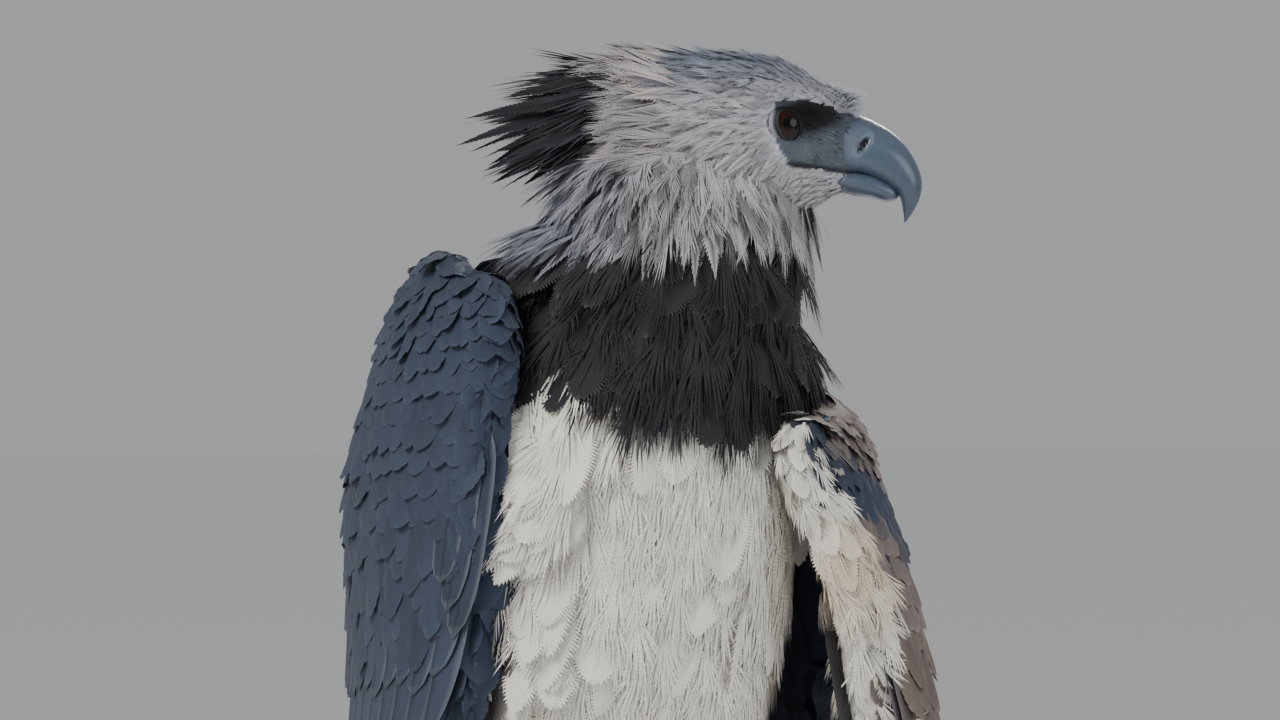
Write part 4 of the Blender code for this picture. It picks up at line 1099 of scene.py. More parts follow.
for k in range(230):
    height_at = CHANCE.uniform(0.515, 0.632)
    turn = math.radians(CHANCE.uniform(196, 236))
    half = np.interp(height_at, SIDE_HEIGHTS, [0.089, 0.089, 0.089, 0.086]) - 0.003
    middle = np.interp(height_at, SIDE_HEIGHTS, [0.003, -0.018, -0.032, -0.041])
    reach = math.exp(-(((height_at - 0.582) / 0.022) ** 2))
    x, y = 0.006 + half * math.cos(turn), middle + half * math.sin(turn)
    starts.append(np.array([x, y, height_at]) + SHIFT)
    sideways = np.array([-0.30 - 0.65 * reach, -0.18 - 0.42 * reach, 0])
    ways.append(unit(-UP * 0.85 + sideways + CHANCE.normal(0, 0.10, 3)))
    outs.append(unit(np.array([math.cos(turn) - 0.1, math.sin(turn) - 0.35, 0.0])))
for k in range(110):
    turn = math.radians(CHANCE.uniform(220, 240))
    x, y = 0.006 + 0.0865 * math.cos(turn), -0.028 + 0.0865 * math.sin(turn)
    starts.append(np.array([x, y, CHANCE.uniform(0.576, 0.618)]) + SHIFT)
    ways.append(unit(np.array([-0.80, -0.27, -0.75]) + CHANCE.normal(0, 0.06, 3)))
    outs.append(np.array([-0.36, -0.93, 0.1]))
starts, ways, outs = np.array(starts), np.array(ways), unit(np.array(outs))
size = np.concatenate([CHANCE.uniform(0.036, 0.050, 230), CHANCE.uniform(0.034, 0.050, 110)])
lap_map = np.array([0.5, 0.5]) + CHANCE.uniform(-0.3, 0.3, (len(starts), 2))
lap_tone = rim_tone(np.broadcast_to(SNOW, starts.shape), SNOW * 1.05, 0.6, 0.5)
spots = (starts, ways, outs, lap_map)
raised = (starts + outs * 0.003, ways, outs, lap_map)
lap.plant(SOFT_LEAVES, spots, (size, 0.0130), (9.0, 14.0), lap_tone, cup=0.18, loose=1.6)
lap.plant(BRUSHES, raised, (size, 0.0110), (9.0, 14.0), lap_tone, loose=1.5)
for coat in (lap, breast, back):
    coat.build()

# %% [markdown]
# The neck carries the ruff: long, pointed, grey feathers with a dark shaft streak, which hang
# over the black band of the chest. Shorter ones hang from the chin and the throat.

# %% Ruff and throat feathers
ruff = Coat("ruff_feathers", SOFT_FEATHER, "neck_feathers")
grey = blend(seen(178, 174, 176), seen(120, 128, 144), (0.05 - across) / 0.08)
grey = varied(grey, place, 0.10)
count = int(upper.sum())
length = CHANCE.uniform(0.027, 0.041, count)
ruff.plant(
    POINTED_LEAVES, (place, -along, normal, patch), (length, 0.0044), (18.0, 17.0),
    rim_tone(grey, grey * 1.25, 0.5, 0.6, 0.72), loose=1.6, where=upper,
)
streak = grey.copy()
streak[upper] *= np.where(CHANCE.random(count) < 0.3, 0.45, 1.0)[:, None]
ruff.plant(
    BRUSHES, (place + normal * 0.0015, -along, normal, patch),
    (CHANCE.uniform(0.026, 0.038, count), 0.0055), (20.0, 15.0),
    rim_tone(streak, streak * 1.2, 0.5, 0.6, root=0.85), cup=0.1, loose=2.0, where=upper,
)
starts, ways, outs = [], [], []
for k in range(190):
    aside, along_at = CHANCE.uniform(-0.021, 0.021), CHANCE.uniform(0.070, 0.104)
    chin = 0.7315 - max(0.0, 0.092 - along_at) * 0.25
    starts.append(head_point(along_at - abs(aside) * 0.35, aside, chin) + SHIFT)
    way = -UP - LOOK * CHANCE.uniform(-0.06, 0.12) + LOOK_LEFT * aside * 6
    ways.append(unit(way + CHANCE.normal(0, 0.05, 3)))
    outs.append(unit(LOOK + LOOK_LEFT * aside * 45 + UP * 0.1))
starts, ways, outs = np.array(starts), np.array(ways), np.array(outs)
throat = (starts, ways, outs, np.array([0.5, 0.8]) + CHANCE.uniform(-0.15, 0.15, (len(starts), 2)))
tint = seen(178, 176, 176) * CHANCE.uniform(0.72, 1.1, len(starts))[:, None]
ruff.plant(
    POINTED_LEAVES, throat, (CHANCE.uniform(0.034, 0.048, len(starts)), 0.0042), (10.0, 16.0),
    rim_tone(tint, tint * 1.2, 0.5, 0.6, 0.6), loose=1.4,
)
ruff.plant(
    BRUSHES, throat, (CHANCE.uniform(0.030, 0.044, len(starts)), 0.0060), (12.0, 14.0),
    rim_tone(tint, tint * 1.2, 0.5, 0.6, root=0.85), cup=0.1, loose=2.0,
)
print("ruff and throat feathers:", 2 * (count + len(starts)))

# %% [markdown]
# The head has the finest feathers, from a few millimetres at the bill to two centimetres at
# the nape. They stay off the eye and the bare skin before it.

# %% Head feathers
def head_spacing(share):
    return float(np.interp(share, [0.0, 0.35, 0.7, 1.0], [0.0066, 0.0054, 0.0040, 0.0030]))


def downwards(along, run, low_cheek):
    """On the head feathers lie backwards; on the low cheek they turn down to the ruff."""
    return unit(-along - UP * (low_cheek * 0.9 + 0.15)[:, None] * (run < 0.1)[:, None])


HEAD_RUN = [0.0, 0.03, 0.08, 0.12]
CHEEK_GREY = seen(196, 190, 188)
face_feathers = Coat("head_feathers", SOFT_FEATHER, "head_feathers")
head_form = head_sections(HEAD, 48, HEAD_COAT)
place, along, normal, patch, keep = rooted(head_form, head_spacing, 0.0, 0.985, 0.007)
run, aside, height = on_head_axes(place)
keep &= is_face(place) < 0.5
keep &= run < np.interp(height, [0.728, 0.741, 0.760, 0.775], [0.128, 0.128, 0.131, 0.131])
low_cheek = np.clip((0.762 - height) / 0.03, 0, 1)
base = blend(varied(head_colour(place), place, 0.07), CHEEK_GREY, low_cheek * 0.7)
spots = (place, downwards(along, run, low_cheek), normal, patch)
length = np.interp(run, HEAD_RUN, [0.022, 0.019, 0.012, 0.007])
face_feathers.plant(
    TINY_LEAVES, spots, (length, length * 0.24), (11.0, 12.0),
    rim_tone(base, base * 1.2, 0.4, 0.6, 0.35), loose=1.5, where=keep & (run > 0.055),
)
face_feathers.plant(
    POINTED_LEAVES, spots, (length * 1.2, length * 0.20), (12.0, 11.0),
    rim_tone(base, base * 1.2, 0.4, 0.6, 0.45), cup=0.16, loose=1.5, where=keep & (run <= 0.055),
)
cheek = keep & (run < 0.086) & (height < 0.762) & (CHANCE.random(len(place)) < 0.40)
size = np.interp(height, [0.72, 0.762], [0.030, 0.017])
ruff.plant(
    POINTED_LEAVES, spots, (size, size * 0.135), (17.0, 16.0),
    rim_tone(base, base * 1.2, 0.4, 0.6, 0.6), cup=0.25, loose=1.5, where=cheek,
)
ruff.build()

# %% Down of the head
velvet = Coat("head_down", SOFT_FEATHER, "head_feathers")
place, along, normal, patch, keep = rooted(head_form, 0.0043, 0.0, 0.97, 0.007)
keep &= (is_face(place) < 0.5) & (on_head_axes(place)[0] < 0.118)
place, along, normal, patch = only(keep, place, along, normal, patch)
run, aside, height = on_head_axes(place)
low_cheek = np.clip((0.762 - height) / 0.03, 0, 1)
base = blend(head_colour(place), CHEEK_GREY, low_cheek * 0.7)
specks = np.where(CHANCE.random(len(place)) < 0.16, 0.62, 1 + CHANCE.normal(0, 0.05, len(place)))
base = base * specks[:, None]
size = np.interp(run, HEAD_RUN, [0.024, 0.020, 0.0115, 0.0065])
velvet.plant(
    BRUSHES, (place + normal * 0.0010, downwards(along, run, low_cheek), normal, patch),
    (size, size * 0.22), (13.0, 10.0), rim_tone(base, base * 1.15, 0.4, 0.6, root=0.9), cup=0.1, loose=1.8,
)
velvet.build()

# %% Brow and jaw feathers
brow_coat = Coat("brow_feathers", SOFT_FEATHER, "head_feathers")
run, aside, height = on_head_axes(co)
pick = (height > 0.7665) & (run > 0.070) & (run < 0.1275) & (is_face(co) < 0.5)
pick &= CHANCE.random(len(co)) < 0.24
place, normal, run = co[pick], normals[pick], run[pick]
base = blend(varied(head_colour(place), place, 0.07), seen(186, 188, 194), (run - 0.10) / 0.02)
turn = np.arctan2(place @ LOOK_LEFT, place[:, 2]) / (2 * np.pi) % 1.0
patch = np.stack([0.05 + 0.9 * turn, 0.1 + run * 5], 1)
size = np.interp(run, [0.07, 0.125], [0.0100, 0.0060])
outward = np.sign(place @ LOOK_LEFT - HEAD_DEPTH - SHIFT @ LOOK_LEFT)
way = unit(-LOOK[None, :] + LOOK_LEFT[None, :] * (outward * 0.12)[:, None] - UP * 0.05)
brow_coat.plant(
    TINY_LEAVES, (place, way, normal, patch), (size, size * 0.27), (13.0, 13.0),
    rim_tone(base, base * 1.2, 0.4, 0.6, 0.35), loose=1.3,
)
brow_coat.build()

jaw = Coat("jaw_feathers", SOFT_FEATHER, "head_feathers")
place, along, normal, patch, keep = rooted(head_sections(JAW, 24), 0.0028, 0.2, 0.99, 0.003)
keep &= is_face(place) < 0.5
base = blend(seen(182, 176, 170), seen(120, 124, 132), CHANCE.random(len(place)) * 0.8)
run, aside, height = on_head_axes(place)
base = blend(base, seen(112, 122, 130), (run - 0.098) / 0.016)
size = np.interp(run, [0.06, 0.100, 0.125], [0.011, 0.0055, 0.0030])
jaw.plant(
    TINY_LEAVES, (place, -along - UP * 0.25, normal, patch), (size, size * 0.25), (9.0, 9.0),
    rim_tone(base, base * 1.2, 0.4, 0.6, 0.3), loose=1.4, where=keep,
)
jaw.build()
face_feathers.build()

# %% [markdown]
# The crest of the harpy eagle is a double fan of long, dark feathers on the nape. In this pose
# it lies back and hangs a little apart, some feathers longer than the others. Each feather
# reaches from a start to an end, and loose barbs fill the fan between them.

# %% Crest
def spear(coat, leaves, starts, ends, half, angles, base, rim, map_place, shaft=0.3, aside=0.0):
    """Feathers that each reach from a start to an end; `aside` turns their faces outwards."""
    starts, ends = np.array(starts), np.array(ends)
    run = ends - starts
    length = np.linalg.norm(run, axis=1)
    head = unit(run)
    offset = (starts - SHIFT) @ LOOK_LEFT - HEAD_DEPTH + CHANCE.normal(0, 0.004, len(starts))
    outward = UP + LOOK_LEFT * (np.clip(offset / 0.012, -1, 1) * aside)[:, None]
    normal = unit(outward - (outward * head).sum(1, keepdims=True) * head)
    colours = rim_tone(varied(base, starts, 0.08), rim, 0.4, 0.8, shaft)
    patch = np.array(map_place) + np.stack([np.linspace(0, 0.08, len(starts)), np.zeros(len(starts))], 1)
    coat.plant(leaves, (starts, head, normal, patch), (length, half), angles, colours, loose=0.6)


# Root and tip of each crest feather: along the look, to the bird's left, and the height.
CREST = [
    (0.034, 0.012, 0.790, -0.050, 0.018, 0.7800), (0.032, -0.012, 0.790, -0.054, -0.016, 0.7735),
    (0.026, 0.004, 0.787, -0.046, 0.004, 0.7860), (0.020, 0.018, 0.780, -0.060, 0.026, 0.7640),
    (0.018, -0.018, 0.779, -0.066, -0.022, 0.7560), (0.015, 0.006, 0.777, -0.072, 0.010, 0.7490),
    (0.015, -0.008, 0.776, -0.062, -0.006, 0.7620), (0.012, 0.020, 0.768, -0.056, 0.030, 0.7430),
    (0.010, -0.020, 0.766, -0.058, -0.026, 0.7400), (0.010, 0.004, 0.762, -0.050, 0.002, 0.7330),
]
crest = Coat("crest_feathers", FIRM_FEATHER, "head_feathers")
starts, ends = [], []
for root_run, root_aside, root_top, tip_run, tip_aside, tip_top in CREST:
    for shift in (-0.005, 0.0, 0.005):
        starts.append(head_point(root_run, root_aside + shift, root_top - 0.003) + SHIFT)
        behind, fall = tip_run + CHANCE.uniform(-0.002, 0.016), CHANCE.uniform(-0.005, 0.004)
        ends.append(head_point(behind, tip_aside + shift * 2, tip_top + fall) + SHIFT)
spear(crest, LONG_LEAVES, starts, ends, 0.0064, (8, 16), INK, seen(90, 92, 100), (0.45, 0.45), aside=1.8)
starts, ends = [], []
for root_run, root_aside, root_top, tip_run, tip_aside, tip_top in CREST:
    for k in range(9):
        shift, drop = CHANCE.uniform(-0.009, 0.009), CHANCE.uniform(-0.008, 0.005)
        fall = CHANCE.uniform(0.0, 0.032)
        start_run, start_top = root_run - 0.004 + fall * 0.2, root_top - 0.002 + drop * 0.5
        starts.append(head_point(start_run, root_aside + shift, start_top) + SHIFT)
        ends.append(head_point(tip_run + fall, tip_aside + shift * 1.6, tip_top + drop) + SHIFT)
crest_dark, crest_edge = seen(46, 46, 54), seen(70, 72, 80)
spear(crest, BRUSHES, starts, ends, 0.0085, (10, 12), crest_dark, crest_edge, (0.45, 0.47), 0.9, aside=1.5)
crest.build()

# %% Nape feathers
hood = Coat("nape_feathers", SOFT_FEATHER, "head_feathers")
place, along, normal, patch, keep = rooted(head_form, 0.0062, 0.0, 0.6, 0.007)
run, aside, height = on_head_axes(place)
keep &= (run < 0.046) & (height > 0.742)
raise_up = np.clip((height - 0.755) / 0.03, 0, 1)
way = unit(-LOOK + UP * (0.10 * raise_up - 0.25 * (1 - raise_up))[:, None] + normal * 0.25)
base = blend(seen(188, 182, 178), seen(104, 108, 120), CHANCE.random(len(place)) * 0.7)
hood.plant(
    POINTED_LEAVES, (place, way, normal, patch), (np.interp(run, [0.0, 0.045], [0.024, 0.032]), 0.0050),
    (17.0, 6.0), rim_tone(base, base * 1.25, 0.5, 0.6, 0.6), loose=1.5, where=keep,
)
raised = (place + normal * 0.0012, way, normal, patch)
hood.plant(
    BRUSHES, raised, (np.interp(run, [0.0, 0.045], [0.026, 0.034]), 0.0062), (17.0, 6.0),
    rim_tone(base, base * 1.2, 0.5, 0.6, root=0.85), loose=2.0, where=keep,
)
hood.build()

# %% [markdown]
# Bristles stand where the feathers end: pale ones rise over the brow towards the bill, short
# dark and grey ones are scattered on the bare skin between the eye and the bill.

# %% Bristles
BROW_TOP = ([0.100, 0.118, 0.128], [0.7845, 0.7775, 0.7715])
tuft = Coat("brow_bristles", SOFT_FEATHER, "head_feathers")
starts, ends = [], []
for k in range(360):
    aside = CHANCE.uniform(-0.016, 0.016)
    along = CHANCE.uniform(0.106, 0.127)
    height = np.interp(along, *BROW_TOP) - abs(aside) ** 2 * 26 - 0.0015
    starts.append(head_point(along, aside, height) + SHIFT)
    reach = CHANCE.uniform(0.004, 0.0095)
    ends.append(head_point(along + reach, aside * 1.2, height + CHANCE.uniform(0.0005, 0.0045)) + SHIFT)
for k in range(70):
    aside = CHANCE.uniform(-0.008, 0.008)
    along = CHANCE.uniform(0.114, 0.123)
    height = np.interp(along, *BROW_TOP) - 0.0010 - aside**2 * 26
    starts.append(head_point(along, aside, height) + SHIFT)
    reach = CHANCE.uniform(0.009, 0.0135)
    ends.append(head_point(along + reach, aside * 1.3, height - CHANCE.uniform(-0.0035, 0.0015)) + SHIFT)
spear(
    tuft, TINY_LEAVES, starts, ends, 0.0015, (8, 10), seen(222, 225, 232), seen(240, 242, 246),
    (0.55, 0.45), 0.1,
)
tuft.build()

bristles = Coat("lore_bristles", SOFT_FEATHER, "head_feathers")
run, aside, height = on_head_axes(co)
pick = (is_face(co) > 0.5) & (run > 0.100) & (run < 0.1235) & (CHANCE.random(len(co)) < 0.10)
place, normal = co[pick], normals[pick]
shadow = np.clip((place[:, 2] - SHIFT[2] - 0.757) / 0.006, 0, 1)[:, None]
pale = np.where(CHANCE.random(len(place)) < 0.55, 1.0, 0.0)[:, None]
tint = pale * (seen(112, 118, 122) - seen(36, 38, 44)) + seen(36, 38, 44)
tint = tint * (1 - 0.85 * shadow)
patch = np.array([0.5, 0.2]) + np.stack([(place @ LOOK) * 2, place[:, 2]], 1) % 0.2
way = unit(LOOK[None, :] - UP * 0.45 + CHANCE.normal(0, 0.25, place.shape))
bristles.plant(
    TINY_LEAVES, (place, way, normal, patch), (0.0042, 0.00032), (22.0, 12.0),
    rim_tone(tint, tint, 0.0), loose=1.5,
)
bristles.build()

# %% [markdown]
# Wing coverts: small scale-like feathers in tiers over the arm, slate-black with a thin pale
# rim. The under side and the front edge of the left wing are white with dark flecks, and the
# fluffy feathers below them are cream. The tables hold the borders of these zones.

# %% Wing coverts
coverts = {side: Coat(f"wing_coverts_{SIDE_NAME[side]}", FIRM_FEATHER, "wing_feathers") for side in (1, -1)}
lining = Coat("wing_lining", SOFT_FEATHER, "breast_feathers")


def cover_spacing(share):
    return 0.0088 + 0.0062 * share


STRIPE_EDGE = (
    [0.465, 0.493, 0.511, 0.531, 0.551, 0.572, 0.576, 0.5925, 0.609, 0.621, 0.624],
    [0.1425, 0.1405, 0.1455, 0.139, 0.1305, 0.119, 0.107, 0.105, 0.100, 0.098, 0.060],
)
WEDGE_TOP = ([0.094, 0.114, 0.1325, 0.1455, 0.1505, 0.17], [0.612, 0.599, 0.5875, 0.571, 0.559, 0.54])
WEDGE_FOOT = ([0.106, 0.1205, 0.134, 0.1455, 0.153, 0.17], [0.576, 0.574, 0.569, 0.5575, 0.5425, 0.52])
for side in (1, -1):
    for sections, area in (
        (arm_sections(SHEETS[side], WING_COAT), (0.02, 0.02, 0.60, 0.98)),
        (edge_sections(SHEETS[side], WING_COAT), (0.64, 0.02, 0.98, 0.98)),
    ):
        place, along, normal, patch, keep = rooted(sections, cover_spacing, 0.0, 0.97, 0.005, area)
        place, along, normal, patch = only(keep, place, along, normal, patch)
        local = place - SHIFT
        share = np.clip((0.69 - local[:, 2] - (side > 0) * 0.07) / 0.22, 0, 1)
        facing = normal[:, 0] * side
        forward = -normal[:, 1]
        fleck = np.sin(place[:, 0] * 210 + 3) * np.sin(place[:, 2] * 190) * np.sin(place[:, 1] * 170 + 1)
        base = varied(SLATE, place, 0.07)
        spotted = blend(SNOW, SOOT, (fleck - 0.42) / 0.1 * (local[:, 2] < 0.50))
        if side > 0:
            tip = place + along * 0.012
            across, height = camera_across(tip), (tip - SHIFT)[:, 2]
            white = (facing < -0.25) | (across < np.interp(height, *STRIPE_EDGE))
            white |= (height < 0.47) & (forward > 0.5)
            white &= (local[:, 1] < 0.02) | (facing < -0.8)
            cream = np.exp(-(((height - 0.545) / 0.022) ** 2)) * np.clip((across - 0.104) / 0.012, 0, 1)
            spotted = blend(spotted, CREAM, cream)
            # The left wing turns brown above and below the dark wedge: partly its grey-brown coverts,
            # partly painted sunlight on the lesser coverts above the wedge.
            brown_and_sunlit = np.clip((height - np.interp(across, *WEDGE_TOP)) / 0.006, 0, 1)
            below = np.clip((np.interp(across, *WEDGE_FOOT) - height) / 0.006, 0, 1)
            brown_and_sunlit = np.maximum(brown_and_sunlit, below) * (facing > -0.2)
            fade = np.clip((local[:, 1] - 0.02) / 0.04, 0, 1)
            base = blend(base, varied(seen(124, 112, 106), place, 0.10), brown_and_sunlit * (1 - fade))
        else:
            white = (facing < -0.90) & (forward < 0) & (np.abs(local[:, 1]) < 0.01)
        length = 0.020 + 0.016 * share
        spots = (place, along, normal, patch)
        coverts[side].plant(
            FIRM_LEAVES, spots, (length, length * 0.44), (11.0, 12.0),
            rim_tone(base, base * 1.9, 0.5, 0.88, 0.12), cup=0.24, loose=0.7, where=~white,
        )
        lining.plant(
            SMALL_LEAVES, spots, (length * 0.85, length * 0.30), (12.0, 12.0),
            rim_tone(spotted, SNOW, 0.5, 0.6), cup=0.2, loose=1.4, where=white,
        )
        lining.plant(
            BRUSHES, (place + normal * 0.0015, along, normal, patch), (length, length * 0.30), (14.0, 10.0),
            rim_tone(spotted, spotted * 1.1, 0.5, 0.6), cup=0.1, loose=2.0, where=white,
        )
print("small coverts planted")

# %% Larger coverts and wing lining
def sheet_rows(side, v_rows, u_range, count, n):
    """Roots in rows down a wing sheet: the spots for planting, and their shares u and v."""
    u, v = [], []
    for i, row in enumerate(v_rows):
        for k in range(count):
            u.append(u_range[0] + (u_range[1] - u_range[0]) * (k + 0.5 * (i % 2)) / count)
            v.append(row)
    u = np.array(u) + CHANCE.uniform(-0.008, 0.008, len(u))
    v = np.array(v) + CHANCE.uniform(-0.006, 0.006, len(v))
    sheet = SHEETS[side]
    along = unit(sheet.point(u, np.minimum(v + 0.02, 1), n) - sheet.point(u, v - 0.02, n))
    patch = np.stack([0.02 + 0.96 * u, 0.02 + 0.96 * v], 1)
    return sheet.point(u, v, n), along, sheet.normal(u, v) * np.sign(n), patch, u, v


for side in (1, -1):
    rear = 0.97 if side > 0 else 0.91
    *spots, u, v = sheet_rows(side, [0.235, 0.265, 0.295, 0.325], (0.08, rear), 13, 0.0085)
    # Brown towards the front edge of the left wing only: partly the feathers' own grey-brown, partly
    # painted sunlight.
    brown_and_sunlit = np.clip((0.62 - u) / 0.2, 0, 1) if side > 0 else 0 * u
    base = varied(blend(SLATE, seen(110, 96, 90), brown_and_sunlit), spots[0], 0.07)
    coverts[side].plant(
        FIRM_LEAVES, spots, (0.050, 0.0125), (4.0, 5.0),
        rim_tone(base, base * 1.8, 0.5, 0.86, 0.15), cup=0.24, loose=0.5,
    )
    coverts[side].build()

*spots, u, v = sheet_rows(1, [0.24 + 0.028 * k for k in range(15)], (-0.02, 0.42), 12, -0.0205)
cream = (np.sin(u * 30 + v * 17) * 0.5 + 0.5) * np.exp(-(((v - 0.42) / 0.12) ** 2))
base = blend(SNOW, CREAM, cream)
base = np.where((CHANCE.random(len(u)) < 0.10)[:, None], SOOT, base)
place, along, normal, patch, base = only(u > 0.05, *spots, base)
lining.plant(
    SMALL_LEAVES, (place, along, normal, patch), (0.026, 0.0075), (12.0, 12.0),
    rim_tone(base, SNOW, 0.5, 0.6), cup=0.2, loose=1.8,
)
lining.plant(
    BRUSHES, (place + normal * 0.001, along, normal, patch), (0.028, 0.0080), (13.0, 10.0),
    rim_tone(base, base * 1.1, 0.5, 0.6), loose=2.0,
)
*spots, u, v = sheet_rows(-1, [0.24, 0.30, 0.36, 0.42], (0.02, 0.7), 11, -0.010)
base = np.broadcast_to(seen(190, 188, 184), spots[0].shape)
lining.plant(SOFT_LEAVES, spots, (0.034, 0.0095), (10.0, 10.0), rim_tone(base, SNOW, 0.5, 0.6), cup=0.24)
lining.build()

# %% [markdown]
# Scapulars: long feathers from the sides of the back that roof the gap to the folded wing, as
# they do on the live bird. They start on the back and reach for the rear edge of the wing.

# %% Scapulars
BACK_HEIGHTS = [0.292, 0.37, 0.49, 0.55, 0.605, 0.65, 0.70]
BACK_DEPTHS = [0.112, 0.056, 0.003, -0.018, -0.032, -0.041, -0.046]
scapulars = Coat("scapulars", FIRM_FEATHER, "wing_feathers")
# The last column darkens the scapulars: the left ones carry painted shade of the gap beside the left wing.
SCAPULAR_SIDES = ((1, 0.97, 0.004, 0.17, 0.55, 0.42), (-1, 0.80, -0.004, 0.11, 0.30, 1.0))
for side, rear_share, lift_off, row_step, reach, shade in SCAPULAR_SIDES:
    starts, ends = [], []
    for row in range(5):
        for k in range(15):
            share = (k + 0.5 * (row % 2)) / 15
            rear = SHEETS[side].point(rear_share, 0.03 + 0.36 * share, lift_off)
            depth = np.interp(rear[2], BACK_HEIGHTS, BACK_DEPTHS)
            turn = math.radians(58 - 7 * row)
            x = side * (0.006 * side + 0.086 * math.cos(turn))
            inner = np.array([x, depth + 0.086 * math.sin(turn), rear[2] + 0.022]) + SHIFT
            start = inner + (rear - inner) * (0.10 + row_step * row)
            starts.append(start)
            ends.append(start + unit((rear - inner) * reach - UP * 0.085) * 0.062)
    starts, ends = np.array(starts), np.array(ends)
    out = unit(np.array([side * 0.35, 0.9, 0.25]) + 0 * starts)
    base = varied(SLATE * shade, starts, 0.07)
    patch = np.array([0.25 if side > 0 else 0.75, 0.5]) + CHANCE.uniform(-0.2, 0.2, (len(starts), 2))
    scapulars.plant(
        FIRM_LEAVES, (starts, unit(ends - starts), out, patch), (0.062, 0.0185), (9.0, 14.0),
        rim_tone(base, base * 1.8, 0.5, 0.9, 0.15), cup=0.2, loose=0.8,
    )
scapulars.build()

# %% [markdown]
# Flight and tail feathers are long vanes with a raised shaft. Each is drawn as a fine grid that
# follows the sheet of its wing; the tip is rounded and the two halves of the vane are uneven.

# %% One long feather
ACROSS = np.array([-1.0, -0.72, -0.40, -0.12, -0.045, 0.045, 0.12, 0.40, 0.72, 1.0])
SHAFT = np.array([0, 0, 0, 0, 1, 1, 0, 0, 0, 0])


def long_vane(
    coat, centre, strip, half, base, bands=None, rim=None, rows=26, pointed_tip=0.35, tip_tone=None
):
    """One long feather. `centre` gives places for shares s along and offsets x in metres."""
    s = np.linspace(0, 1, rows)
    width = half * (0.45 + 0.55 * np.clip(s / 0.16, 0, 1) ** 0.7)
    tip = np.clip((s - (1 - pointed_tip)) / pointed_tip, 0, 1)
    width = width * np.sqrt(np.maximum(1 - tip**2.6, 0.0)) + 0.0004
    ragged = CHANCE.uniform(0.975, 1.015, (rows, 2))
    x = ACROSS[None, :] * width[:, None]
    x[:, 0] *= ragged[:, 0]
    x[:, -1] *= ragged[:, 1]
    shaft = SHAFT[None, :] * (0.0013 * (1 - 0.8 * s))[:, None]
    arch = -0.10 * half * (ACROSS[None, :] ** 2) + shaft
    sweep = np.abs(ACROSS)[None, :] ** 1.5 * half * 0.25 * (1 - tip)[:, None]
    points = centre(s[:, None] + 0 * x, x, arch, sweep)
    columns = len(ACROSS)
    i, j = np.meshgrid(np.arange(rows - 1), np.arange(columns - 1), indexing="ij")
    a = (i * columns + j).ravel()
    quads = np.stack([a, a + 1, a + columns + 1, a + columns], 1)
    faces = np.concatenate([quads[:, [0, 1, 2]], quads[:, [0, 2, 3]]])
    vane = np.stack(np.broadcast_arrays(0.5 + 0.5 * ACROSS[None, :], s[:, None]), -1)
    bake = np.stack([strip[0] + 0.018 * vane[..., 0], strip[1] + 0.30 * vane[..., 1]], -1)
    colour = np.broadcast_to(base, (*x.shape, 3))
    if bands is not None:
        colour = blend(colour, bands[1], bands[0](s)[:, None] + 0 * x)
    if rim is not None:
        edge = np.maximum(np.abs(ACROSS)[None, :] ** 3, np.clip((s - 0.9) / 0.1, 0, 1)[:, None] ** 1.5)
        colour = blend(colour, rim, np.clip((edge - 0.55) / 0.45, 0, 1) * 0.55)
    if tip_tone is not None:
        colour = blend(colour, tip_tone, np.clip((s - 0.962) / 0.008, 0, 1)[:, None] + 0 * x)
    colour = colour * (1 - 0.4 * SHAFT)[None, :, None]
    coat.add(points, faces, vane, bake, colour)


print("points across a long feather:", len(ACROSS))

# %% Flight feathers
flight = {
    side: Coat(f"flight_feathers_{SIDE_NAME[side]}", FIRM_FEATHER, "wing_feathers") for side in (1, -1)
}
PRIMARY_TIPS = [0.80, 0.90, 0.96, 0.99, 1.00, 0.985, 0.95, 0.90, 0.84, 0.79]
COVERT_TIERS = ((0.30, 0.505, 11, 0.0052), (0.285, 0.445, 12, 0.0072))
BROWN_BLACK = seen(50, 46, 50)


def wing_vane(side, at, root, tip, half, base, tilt=0.0, **more):
    """One long feather from a root to a tip, each given by its shares u, v and height n."""
    sheet = SHEETS[side]

    def centre(s, x, arch, sweep):
        v = root[1] + (tip[1] - root[1]) * s
        ease = s + 0.25 * s * (1 - s)
        u = root[0] + (tip[0] - root[0]) * ease + x / np.maximum(sheet.chord(v), 0.09)
        n = root[2] + (tip[2] - root[2]) * s - tilt * x / half + arch
        return sheet.point(u, np.minimum(v, 1.0), n)

    strip = (0.01 + 0.022 * (at % 44), 0.01 + 0.33 * (at // 44))
    long_vane(flight[side], centre, strip, half, base, **more)


def faint_bars(count, phase):
    return lambda s: np.clip(np.sin((s + phase) * count * 2 * math.pi) * 3 - 1.2, 0, 1) * 0.5


def folded_tone(side, u):
    """The left wing's feathers turn brown towards the front edge, partly their own grey-brown and partly
    painted sunlight; the rest are slate.
    """
    return blend(SLATE, seen(92, 78, 74), np.array((0.62 - u) / 0.2)) if side > 0 else SLATE


